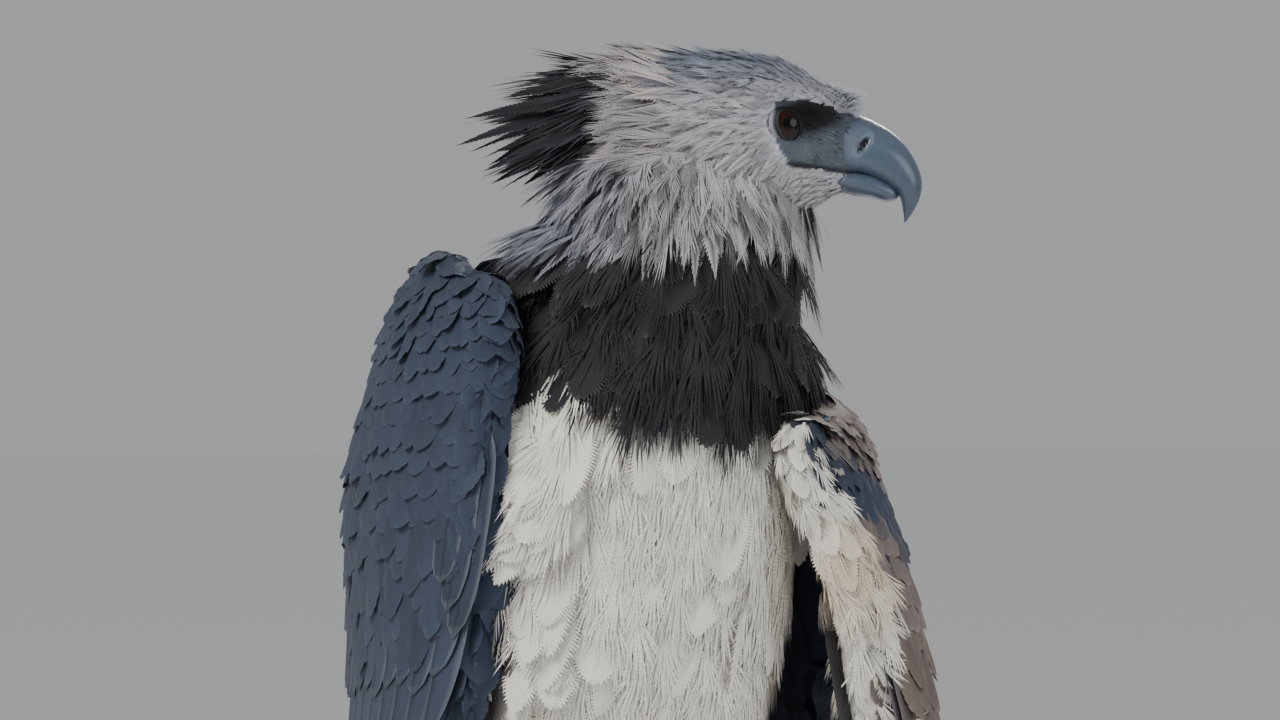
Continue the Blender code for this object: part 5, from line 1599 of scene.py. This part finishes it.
for side in (1, -1):
    at = 0
    wide = 0.80 if side > 0 else 0.75
    shaded = (0.5, 0.45, 0.4) if side > 0 else (1.0, 1.0, 1.0)
    for k, tip_at in enumerate(PRIMARY_TIPS):
        share = k / 9
        n = -0.0074 - 0.0108 * (1 - share)
        wing_vane(
            side, at, (0.03 + 0.30 * share, 0.285, n), (0.02 + 0.58 * share, tip_at, n), 0.0165,
            BROWN_BLACK * (0.95 + 0.1 * (k % 2)) * shaded[0],
            bands=(faint_bars(7, 0.07 * k), seen(96, 92, 94) * shaded[1]),
            rim=seen(110, 104, 102) * shaded[2],
        )
        at += 1
    for k in range(11):
        share = k / 10
        u = 0.15 + wide * share
        wing_vane(
            side, at, (u, 0.27, 0.0), (u, 0.725 - 0.030 * share - (0.07 if k > 8 else 0), 0.0), 0.0205,
            folded_tone(side, u) * (0.85 + 0.08 * (k % 2)), tilt=0.0021,
            bands=(faint_bars(5, 0.05 * k), seen(96, 104, 118)), rim=seen(116, 121, 130),
        )
        at += 1
    for tier, (root_at, tip_at, count, n) in enumerate(COVERT_TIERS):
        for k in range(count):
            u = 0.08 + (wide + 0.07) * (k / (count - 1))
            tip = (u, tip_at + CHANCE.uniform(-0.012, 0.012), n + 0.0006)
            wing_vane(
                side, at, (u, root_at, n), tip, 0.0165 - 0.002 * tier,
                folded_tone(side, u) * (0.92 + 0.12 * CHANCE.random()),
                tilt=0.0014, rim=seen(112, 118, 130), rows=16, pointed_tip=0.5,
            )
            at += 1
    for k in range(7 if side < 0 else 0):
        wing_vane(
            side, at, (0.03 + 0.10 * k, 0.29, -0.0125), (0.05 + 0.12 * k, 0.47, -0.0125), 0.0120,
            seen(96, 92, 92), bands=(faint_bars(2, 0.1 * k), SOOT), rows=16, pointed_tip=0.5,
        )
        at += 1
    for k in range(3 if side < 0 else 0):
        n = 0.0014 * k
        wing_vane(
            side, at, (0.015 + 0.035 * k, 0.19, 0.0040 + n), (0.02 + 0.03 * k, 0.40 - 0.03 * k, 0.0095 + n),
            0.0085, SLATE * 0.8, rim=seen(120, 124, 132), rows=16,
        )
        at += 1
    made = flight[side].build()
    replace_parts(made, f"wing_{SIDE_NAME[side]}_hand", f"wing_{SIDE_NAME[side]}_secondaries")

# %% [markdown]
# The tail: twelve long feathers in a narrow fan that hangs down behind, black with broad grey
# bands and a thin pale tip, each pair under the one before. Short coverts lie over its root.

# %% Tail
TAIL_END = np.array([0.0, 0.112, 0.292]) + SHIFT
DROP = math.radians(46.0)
TAIL_ALONG = np.array([0.0, math.cos(DROP), -math.sin(DROP)])
TAIL_UP = np.array([0.0, math.sin(DROP), math.cos(DROP)])
LEFTWARDS = np.array([1.0, 0.0, 0.0])
LAYER = 0.00115
tail = Coat("tail_feathers", FIRM_FEATHER, "tail_feathers")


def tail_bands(s):
    wave = np.clip(np.sin((s * 0.96 + 0.02) * 2 * math.pi * 4.4 - 1.2) * 4 - 1.0, 0, 1)
    return np.where(s > 0.965, 0.0, wave) * 0.85


def tail_vane(side, k, start, length, layer, half, at, base, **more):
    turn = math.radians((0.6 + 0.95 * k) * side)
    root = TAIL_END + TAIL_ALONG * start + LEFTWARDS * side * (0.004 + 0.0048 * k)
    axis = TAIL_ALONG * math.cos(turn) + LEFTWARDS * math.sin(turn)
    out = unit(np.cross(axis, TAIL_UP))

    def centre(s, x, arch, sweep):
        bow = 0.004 * math.sin(math.radians(4)) * s**2 * length * 10
        lifted = TAIL_UP * (layer + arch - bow)[..., None]
        return root + axis * (length * s + sweep)[..., None] - out * x[..., None] + lifted

    long_vane(tail, centre, (0.02 + 0.022 * at, 0.02), half, base, **more)


for k in range(6):
    for side in (1, -1):
        layer = 0.0066 - 2 * LAYER * k - (LAYER if side < 0 else 0)
        tail_vane(
            side, k, 0.045, 0.385 - 0.045 - 0.0035 * k, layer, 0.0285, 2 * k + (side > 0), seen(38, 37, 42),
            bands=(tail_bands, seen(150, 148, 150)), tip_tone=seen(196, 192, 188), rows=60,
            pointed_tip=0.12,
        )
TAIL_COVERTS = (
    (0.030, 0.115, 0.0095, SLATE * 0.8), (0.010, 0.100, 0.0125, SLATE * 0.8),
    (0.030, 0.105, -0.0135, SNOW), (0.008, 0.090, -0.0165, SNOW),
)
for tier, (start, length, layer, base) in enumerate(TAIL_COVERTS):
    for k in range(3):
        for side in (1, -1):
            tail_vane(
                side, k * 1.6, start + 0.004 * k, length - 0.006 * k, layer, 0.018,
                12 + tier * 6 + 2 * k + (side > 0), base, rim=seen(150, 152, 156), rows=14, pointed_tip=0.5,
            )
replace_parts(tail.build(), "tail")

# %% [markdown]
# The thighs wear loose white trousers crossed by fine black bars.

# %% Thigh feathers
for side in (1, -1):
    trousers = Coat(f"thigh_feathers_{SIDE_NAME[side]}", SOFT_FEATHER, "thigh_feathers")
    sections = thigh_sections(side, THIGH_COAT)
    area = (0.02, 0.02, 0.48, 0.98) if side > 0 else (0.52, 0.02, 0.98, 0.98)
    place, along, normal, patch, keep = rooted(sections, 0.0100, 0.0, 0.985, 0.006, area)
    place, along, normal, patch = only(keep, place, along, normal, patch)
    base = varied(SNOW, place, 0.04)

    def barred(across, along_vane, pick):
        wave = np.sin(along_vane * 17.0 + np.abs(across) * 1.2)
        share = np.clip(wave * 5 - 3.6, 0, 1) * (along_vane > 0.45)
        colour = base[pick][:, None, :] * (1 - 0.8 * share)[None, :, None]
        return colour * (0.72 + 0.28 * np.clip(along_vane / 0.35, 0, 1))[None, :, None]

    length = 0.020 + 0.014 * np.clip(((place - SHIFT)[:, 2] - 0.13) / 0.25, 0, 1)
    spots = (place, along, normal, patch)
    trousers.plant(SOFT_LEAVES, spots, (length, length * 0.30), (11.0, 12.0), barred, cup=0.16, loose=1.2)

    place, along, normal, patch, keep = rooted(sections, 0.0072, 0.0, 0.985, 0.006, area)
    place, along, normal, patch = only(keep, place, along, normal, patch)
    share = np.clip(((place - SHIFT)[:, 2] - 0.13) / 0.25, 0, 1)
    length = 0.017 + 0.014 * share
    base = varied(SNOW, place, 0.04)
    streaked = CHANCE.random(len(place)) < 0.5 * (1 - share) + 0.10

    def flecked(across, along_vane, pick):
        dark = np.exp(-(((along_vane - 0.66) / 0.13) ** 2))[None, :] * streaked[pick][:, None] * 0.55
        root_shade = (0.8 + 0.2 * np.clip(along_vane / 0.4, 0, 1))[None, :, None]
        return base[pick][:, None, :] * (1 - dark)[..., None] * root_shade

    spots = (place + normal * 0.0018, along, normal, patch)
    trousers.plant(BRUSHES, spots, (length, length * 0.30), (12.0, 10.0), flecked, cup=0.1, loose=1.8)
    trousers.build()

# %% [markdown]
# Last look over the coat: wherever the skin still lies further than a feather's width from any
# root, one more feather is planted, in the skin's own colour.

# %% Filling the gaps
tree = search_tree(np.concatenate(ALL_ROOTS))
height = (co - SHIFT)[:, 2]
bald = (is_face(co) < 0.5) & (height < 0.700) & (height > 0.135)
vaned = on_wing & (height < np.where(co[:, 0] > SHIFT[0], 0.56, 0.61))
order = np.flatnonzero(bald & ~vaned)
CHANCE.shuffle(order)
cells, picked = set(), []
for i in order:
    cell = tuple((co[i] / 0.0085).astype(int))
    if cell not in cells and tree.find(co[i])[2] >= 0.0095:
        cells.add(cell)
        picked.append(i)
place, normal, base = co[picked], normals[picked], tone[picked]
patch = np.stack([place[:, 0] * 1.5 + 0.5, place[:, 2]], 1) % 1.0
fill = Coat("gap_feathers", SOFT_FEATHER, "wing_feathers")
fill.plant(
    SMALL_LEAVES, (place, -UP[None, :] + normal * 0.1, normal, patch), (0.026, 0.0085), (10.0, 12.0),
    rim_tone(base, base * 1.5, 0.4, 0.85), cup=0.18, loose=1.2,
)
fill.build()
print("feathers added in gaps:", len(picked))

# %% [markdown]
# Eyes, bill and claws are smooth bodies. Each is a surface drawn through rows of places, so that
# its outline can be set row by row, and it carries its colours in the attribute Tone.

# %% Smooth bodies and their finish
def grid_object(name, points, tones, finish, cap=True):
    """A surface through rows of places that close in rings; both ends are closed if capped."""
    rows, columns = points.shape[:2]
    i, j = np.meshgrid(np.arange(rows - 1), np.arange(columns), indexing="ij")
    a, b = (i * columns + j).ravel(), (i * columns + (j + 1) % columns).ravel()
    faces = [tuple(q) for q in np.stack([a, b, b + columns, a + columns], 1)]
    if cap:
        faces.append(tuple(range(columns - 1, -1, -1)))
        faces.append(tuple((rows - 1) * columns + k for k in range(columns)))
    mesh = bpy.data.meshes.new(name)
    mesh.from_pydata([tuple(p) for p in points.reshape(-1, 3)], [], faces)
    bm = bmesh.new()
    bm.from_mesh(mesh)
    bmesh.ops.recalc_face_normals(bm, faces=bm.faces)
    if cap and bm.calc_volume(signed=True) < 0:
        bmesh.ops.reverse_faces(bm, faces=bm.faces)
    bm.to_mesh(mesh)
    bm.free()
    write_tone(mesh, np.broadcast_to(tones, points.shape).reshape(-1, 3))
    mesh.materials.append(finish)
    made = bpy.data.objects.new(name, mesh)
    bpy.context.scene.collection.objects.link(made)
    for face in mesh.polygons:
        face.use_smooth = len(face.vertices) == 4
    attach(made, "root")
    return made


def toned(name, roughness, specular, coat, grain, strength, depth):
    """A material that takes its colour from Tone and adds a fine grain in colour and height."""
    made, shader, place = material(name, roughness, specular=specular, coat=coat)
    fine = noise(place, grain, 5.0)
    broad = noise(place, grain * 0.16, 3.0)
    shade = 1.0 + (fine - 0.5) * strength + (broad - 0.5) * strength
    feed(shader, "Base Color", own_tone(place).scaled(shade))
    feed(shader, "Normal", bump(place, 0.4, depth, fine))
    return made


EYE_GLASS = toned("eye_glass", 0.04, 0.10, 0.28, 900.0, 0.25, 0.00001)
LID_SKIN = toned("lid_skin", 0.62, 0.3, 0.0, 1400.0, 0.5, 0.0003)
print("eye and lid finishes ready")

# %% [markdown]
# The eyeball is a fine sphere whose pole points where the eye looks. Pupil and iris are rings
# of colour round that pole, the iris painted darker towards the front as painted shadow of the
# brow. The lids are a shell over the ball with an almond-shaped opening; each row of the table
# is an angle beyond that opening and a height over the ball. Two more tables hold each row's
# shade, partly the lids' own dark margin and partly painted shade, and its share of the grey of
# the feathers behind the eye. The front and top of the lids are painted near-black as the
# brow's shadow.

# %% Eyes and lids
EYEBALL = 0.0112
LID_ROWS = (
    (0.0, 0.0000), (0.0, 0.0004), (0.045, 0.0005), (0.09, 0.0003), (0.16, 0.0001),
    (0.24, 0.0002), (0.31, 0.0004), (0.45, 0.0001), (0.70, -0.0010), (0.95, -0.0034),
)
# Each row's darkness: the lids' own dark margin with a paler line, and painted shade on the rows that face
# the light.
LID_SHADE = np.array([0.15, 0.25, 0.45, 0.22, 0.14, 0.16, 0.22, 0.45, 1.1, 1.1])[:, None, None]
LID_DOWN = np.array([0, 0, 0, 0, 0, 0.25, 0.8, 1, 1, 1])[:, None]
for side in (1, -1):
    facing, centre = eye_facing(side), eye_centre(side)
    rise = unit(UP - (UP @ facing) * facing)
    across = np.cross(rise, facing)
    ahead = 1 if across @ LOOK > 0 else -1

    def on_ball(polar, turn, radius):
        """Places at an angle from where the eye looks, and at a turn round that line."""
        spoke = np.cos(turn)[..., None] * across + np.sin(turn)[..., None] * rise
        outwards = np.cos(polar)[..., None] * facing + np.sin(polar)[..., None] * spoke
        return centre + outwards * radius[..., None]

    polar = np.linspace(0.002, np.pi - 0.002, 48)[:, None]
    bulge = EYEBALL * (1 + 0.035 * np.exp(-((polar / 0.55) ** 2)))
    polar, turn, bulge = np.broadcast_arrays(polar, turns(64)[None, :], bulge)
    streak = 0.85 + 0.15 * np.sin(turn * 23.0) * np.sin(turn * 7.0 + 1.0)
    iris = blend(seen(38, 13, 8) * streak[..., None], seen(18, 8, 6), (polar - 0.56) / 0.14)
    # The iris is painted darker towards the front: painted shadow of the brow.
    iris_shadow_share = np.cos(turn) * ahead * np.sin(polar)
    iris = iris * (1 - 0.85 * np.clip(iris_shadow_share * 2.4 + 0.15, 0, 1))[..., None]
    tones = blend(iris, seen(5, 4, 5), (0.33 - polar) / 0.03)
    tones = blend(tones, seen(30, 22, 20), (polar - 0.82) / 0.05)
    made = grid_object(f"eyeball_{SIDE_NAME[side]}", on_ball(polar, turn, bulge), tones, EYE_GLASS)
    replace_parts(made, f"eye_{SIDE_NAME[side]}")

    turn = turns(96)
    slant = turn - math.radians(20.0) * ahead
    front = np.cos(slant) * ahead
    tall = np.where(np.sin(slant) > 0, 0.66, 0.80)
    wide = np.where(front > 0, 0.56, 0.46)
    opening = 1 / np.sqrt((np.cos(slant) / wide) ** 2 + (np.sin(slant) / tall) ** 2)
    rows = []
    for gap, height in LID_ROWS:
        rows.append(on_ball(np.minimum(opening + gap, 1.75), turn, np.full_like(turn, EYEBALL + height)))
    # The front and top of the lids are painted near-black: painted shadow of the brow.
    brow_shadow_on_lids = np.clip(front * 1.6 + 0.45 + 0.35 * np.clip(np.sin(slant), 0, 1), 0, 1)[None, :, None]
    tones = LORE * 0.78 * LID_SHADE * (1 - brow_shadow_on_lids) + seen(17, 15, 17) * brow_shadow_on_lids
    tones = blend(tones, ASH * 0.66, LID_DOWN * np.clip(-front * 2.5 - 0.6, 0, 1))
    name = f"eyelids_{SIDE_NAME[side]}"
    lids = grid_object(name, np.array(rows), tones, LID_SKIN, cap=False)
    outward = [np.array(f.normal) @ (np.array(f.center) - centre) for f in lids.data.polygons]
    if np.mean(outward) < 0:
        lids.data.flip_normals()
print("eyes made at", eye_centre(1).round(3), eye_centre(-1).round(3))

# %% [markdown]
# The bill: two lofts through sections along the culmen and the cutting edge. The swollen cere
# at the root holds the nostrils, slanted slits that are pressed in; then comes the horn.

# %% Bill
BILL_UPPER = [
    (0.1040, 0.7610, 0.1040, 0.7400, 0.0110), (0.1120, 0.7645, 0.1110, 0.7388, 0.0142),
    (0.1180, 0.7662, 0.1170, 0.7380, 0.0156), (0.1250, 0.7668, 0.1240, 0.7372, 0.0161),
    (0.1345, 0.7640, 0.1330, 0.7358, 0.0148), (0.1440, 0.7590, 0.1400, 0.7326, 0.0128),
    (0.1515, 0.7520, 0.1450, 0.7296, 0.0110), (0.1568, 0.7440, 0.1485, 0.7268, 0.0090),
    (0.1600, 0.7350, 0.1500, 0.7232, 0.0066), (0.1596, 0.7270, 0.1507, 0.7196, 0.0043),
    (0.1565, 0.7195, 0.1513, 0.7160, 0.0022), (0.1525, 0.7138, 0.1513, 0.7132, 0.0006),
]
BILL_LOWER = [
    (0.1040, 0.7400, 0.1050, 0.7292, 0.0178), (0.1120, 0.7396, 0.1120, 0.7278, 0.0168),
    (0.1240, 0.7388, 0.1240, 0.7268, 0.0145), (0.1350, 0.7372, 0.1350, 0.7252, 0.0118),
    (0.1420, 0.7340, 0.1425, 0.7234, 0.0094), (0.1462, 0.7312, 0.1470, 0.7244, 0.0066),
    (0.1488, 0.7285, 0.1488, 0.7265, 0.0020),
]
HORN = toned("horn", 0.30, 0.5, 0.12, 420.0, 0.35, 0.00012)
horn_place = Dye(HORN.node_tree, HORN.node_tree.nodes["Texture Coordinate"].outputs["Object"])
along_look = {0: horn_place, 1: Vector(LOOK)}
horn_along = horn_place.node("ShaderNodeVectorMath", {"operation": "DOT_PRODUCT"}, along_look, 1)
dull = ((horn_along * -1.0 + (0.1335 + float(SHIFT @ LOOK))) / 0.012).clamped()
feed(HORN.node_tree.nodes["Principled BSDF"], "Roughness", dull * 0.40 + 0.30)
CERE_TONE, HORN_TONE, TIP_TONE = seen(84, 98, 118), seen(72, 86, 104), seen(34, 38, 46)
NOSTRIL_LEAN = math.radians(52)


def shape_cere(points, tone, along, aside, height):
    """The cere swells a little behind its border, and the nostrils are pressed into it."""
    border = 0.1325 + (height - 0.750) * 0.35
    tone = blend(tone, CERE_TONE, (border - along) / 0.002)
    swollen = np.clip((border - along) / 0.0015, 0, 1)
    points = points + (aside / 0.015 * swollen * 0.0006)[..., None] * LOOK_LEFT
    points = points + (np.maximum(0, (height - 0.76) / 0.006) * swollen * 0.0005)[..., None] * UP
    a, h = along - 0.1310, height - 0.7512
    long_way = a * math.cos(NOSTRIL_LEAN) + h * math.sin(NOSTRIL_LEAN)
    short_way = -a * math.sin(NOSTRIL_LEAN) + h * math.cos(NOSTRIL_LEAN)
    hole = (long_way / 0.0044) ** 2 + (short_way / 0.0017) ** 2
    push = 0.0032 * np.clip(1.25 - hole, 0, 1) - 0.0006 * np.exp(-((hole - 2.2) / 1.1) ** 2)
    points = points - (np.sign(aside) * push * (np.abs(aside) > 0.006))[..., None] * LOOK_LEFT
    # The inside of each nostril is painted near-black: painted shade in the pressed-in hole.
    tone = blend(tone, seen(12, 12, 14), np.clip(1.3 - hole, 0, 1) * 2)
    return points, blend(tone, seen(140, 150, 162), np.exp(-((hole - 2.4) / 0.9) ** 2) * 0.35)


def bill_part(name, rows, upper):
    turn = turns(96)
    ridge = 1 - (0.24 if upper else -0.06) * np.maximum(0, np.sin(turn)) ** 2
    tallness = np.where((np.sin(turn) < 0) & upper, power(np.sin(turn), 0.7), np.sin(turn))
    points = []
    for top_along, top_height, low_along, low_height, half in smooth_rows(rows, 96):
        top, low = head_point(top_along, 0, top_height), head_point(low_along, 0, low_height)
        middle, tall = (top + low) / 2, (top - low) / 2
        wide = half * power(np.cos(turn), 0.85) * ridge
        points.append(middle + tallness[:, None] * tall + wide[:, None] * LOOK_LEFT)
    points = np.array(points)
    along, height = points @ LOOK, points[..., 2]
    tone = HORN_TONE
    if upper:
        points, tone = shape_cere(points, tone, along, points @ LOOK_LEFT - HEAD_DEPTH, height)
    tone = blend(tone, LORE, (0.1325 - along) / 0.019)
    tip = np.clip(((0.742 if upper else 0.733) - height) / 0.022, 0, 1) * (along > 0.138)
    tone = blend(tone, TIP_TONE, tip * 0.4)
    points = points + SHIFT
    for i, j in np.argwhere((along < 0.1285) & (along > 0.1085)):
        spot, out, _, _ = skin_tree.find_nearest(Vector(points[i, j]), 0.006)
        above = (Vector(points[i, j]) - spot).dot(out) if spot is not None else 0
        if above > 0:
            share = np.clip((along[i, j] - 0.1145) / 0.0135, 0, 1)
            sink = above * (1 - share * share * (3 - 2 * share)) + 0.0004 * (1 - share)
            points[i, j] -= np.array(out) * sink
    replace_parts(grid_object(name, points, tone, HORN), name)


bill_part("bill_upper", BILL_UPPER, True)
bill_part("bill_lower", BILL_LOWER, False)
print("bill made")

# %% [markdown]
# Legs and feet: shank, palm and toes are melted into one surface. Steps are then raised on it
# for the scutes: broad ones down the front of the shank, short ones on top of each toe.

# %% Shapes of the foot
TARSUS = [
    (0.074, 0.025, 0.130, 0.0150, 0.0170), (0.074, 0.026, 0.110, 0.0140, 0.0160),
    (0.075, 0.018, 0.075, 0.0125, 0.0145), (0.076, 0.010, 0.040, 0.0145, 0.0160),
    (0.076, 0.006, 0.020, 0.0180, 0.0190),
]
TOES = (
    ("inner", -38.0, 0.066, 0.0125, 0.0095, 0.050), ("middle", -4.0, 0.086, 0.0120, 0.0090, 0.042),
    ("outer", 34.0, 0.066, 0.0110, 0.0085, 0.034), ("hind", 172.0, 0.056, 0.0130, 0.0105, 0.064),
)
FOOT = np.array([0.076, 0.004, 0.0])
LEG_SKIN = toned("leg_skin", 0.46, 0.45, 0.05, 700.0, 0.30, 0.0003)
CLAW_HORN = toned("claw_horn", 0.22, 0.5, 0.3, 500.0, 0.4, 0.0001)
YELLOW, DEEP_YELLOW = seen(222, 182, 62), seen(150, 104, 34)


def toe_frame(side, heading):
    turn = math.radians(heading)
    ahead = np.array([side * math.sin(turn), -math.cos(turn), 0.0])
    return ahead, np.cross(ahead, UP)


def oval(centre, across, up, half, tall):
    turn = turns()[:, None]
    return centre + np.cos(turn) * across * half + np.sin(turn) * up * tall


def toe_rings(foot_at, ahead, across, length, root, end):
    """A toe: three soft pads under it, and a rounded end."""
    rings = []
    for t in np.linspace(0, 1, 40):
        thick = root + (end - root) * t
        half = thick * (1.0 + 0.09 * math.cos(6 * math.pi * t))
        lift = thick * (0.86 + 0.25 * (1 - t) ** 2)
        if t > 0.94:
            half *= math.sqrt(max(0.05, 1 - ((t - 0.94) / 0.07) ** 2))
        rings.append(oval(foot_at + ahead * length * t + UP * lift, across, UP, half, half))
    return np.array(rings)


def claw_rings(start, ahead, across, end, claw):
    """A claw: a bow that narrows to a point and never dips under the floor."""
    radius, first, swing = claw / math.radians(118), math.radians(-34), math.radians(118)
    rings = []
    for t in np.linspace(0, 1, 44):
        turn = first + swing * t
        spot = start + ahead * radius * (math.sin(turn) - math.sin(first))
        spot = spot + UP * radius * (math.cos(turn) - math.cos(first))
        half = end * 0.80 * (1 - t) ** 0.75 + 0.0003
        rings.append(oval(spot, across, ahead * math.sin(turn) + UP * math.cos(turn), half * 0.78, half))
    rings = np.array(rings)
    return rings + UP * max(0.0, 0.0002 - rings[..., 2].min())


def scute_groove(step, width):
    return np.exp(-((np.minimum(step, 1 - step)) / width) ** 2)


print("toes:", [name for name, *_ in TOES])

# %% Legs and claws
for side in (1, -1):
    foot_at = FOOT * [side, 1, 1] + SHIFT
    parts = [form("shank", body_sections([(r[0] * side, *r[1:], 0) for r in TARSUS], 40))]
    for name, heading, length, root, end, claw in TOES:
        parts.append(form("toe", toe_rings(foot_at, *toe_frame(side, heading), length, root, end)))
    parts.append(ball("palm", foot_at + UP * 0.017, (0.021, 0.023, 0.0195), UP))
    leg = join(parts, f"leg_{SIDE_NAME[side]}")
    melt(leg, 0.0010, 8)
    spots, outs = read_out(leg.data, "co"), read_out(leg.data, "normal")
    local = spots - SHIFT
    shank = np.clip((local[:, 2] - 0.030) / 0.008, 0, 1)
    front = np.clip((-outs[:, 1] - 0.10) / 0.25, 0, 1)
    step = ((0.125 - local[:, 2]) / 0.0105) % 1.0
    raise_by = shank * front * (0.0013 * step**0.8)
    groove = shank * front * scute_groove(step, 0.07)
    back_scales = np.clip((outs[:, 1] - 0.2) / 0.3, 0, 1) * shank
    raise_by += back_scales * 0.0007 * (((0.125 - local[:, 2]) / 0.0072) % 1.0)
    for name, heading, length, root, end, claw in TOES:
        ahead, across = toe_frame(side, heading)
        offset = local - FOOT * [side, 1, 1]
        run, wide = offset @ ahead, np.abs(offset @ across)
        on_toe = (run > 0.020) & (wide < 0.0135) & (local[:, 2] < 0.034)
        top = np.clip((outs[:, 2] - 0.15) / 0.3, 0, 1) * on_toe * np.clip((run - 0.020) / 0.006, 0, 1)
        step = (run / 0.0058) % 1.0
        raise_by += top * 0.0009 * step**0.8
        groove = np.maximum(groove, top * scute_groove(step, 0.10))
        under = np.clip((-outs[:, 2] - 0.1) / 0.3, 0, 1) * on_toe
        raise_by += under * 0.0004 * np.sin(run * 900)
    spots = spots + outs * raise_by[:, None]
    spots[:, 2] = np.maximum(spots[:, 2], 0.0)
    leg.data.vertices.foreach_set("co", spots.ravel())
    leg.data.update()
    # Darker yellow in the joints between scutes, and painted shade on the surfaces that face down.
    joints_and_under_shade = groove * 0.8 + 0.25 * (outs[:, 2] < -0.3)
    write_tone(leg.data, blend(YELLOW, DEEP_YELLOW, joints_and_under_shade))
    leg.data.materials.clear()
    leg.data.materials.append(LEG_SKIN)
    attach(leg, "root")
    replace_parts(leg, f"tarsus_{SIDE_NAME[side]}", f"foot_{SIDE_NAME[side]}")

    for name, heading, length, root, end, claw in TOES:
        ahead, across = toe_frame(side, heading)
        start = foot_at + ahead * (length - 0.005) + UP * (end * 1.05)
        rings = claw_rings(start, ahead, across, end, claw)
        dark = blend(seen(40, 37, 36), seen(16, 15, 16), np.linspace(0, 2, 44)[:, None])
        made = grid_object(f"claw_{SIDE_NAME[side]}_{name}", rings, dark, CLAW_HORN)
        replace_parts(made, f"claw_{SIDE_NAME[side]}_{name}")
print("legs and claws made")
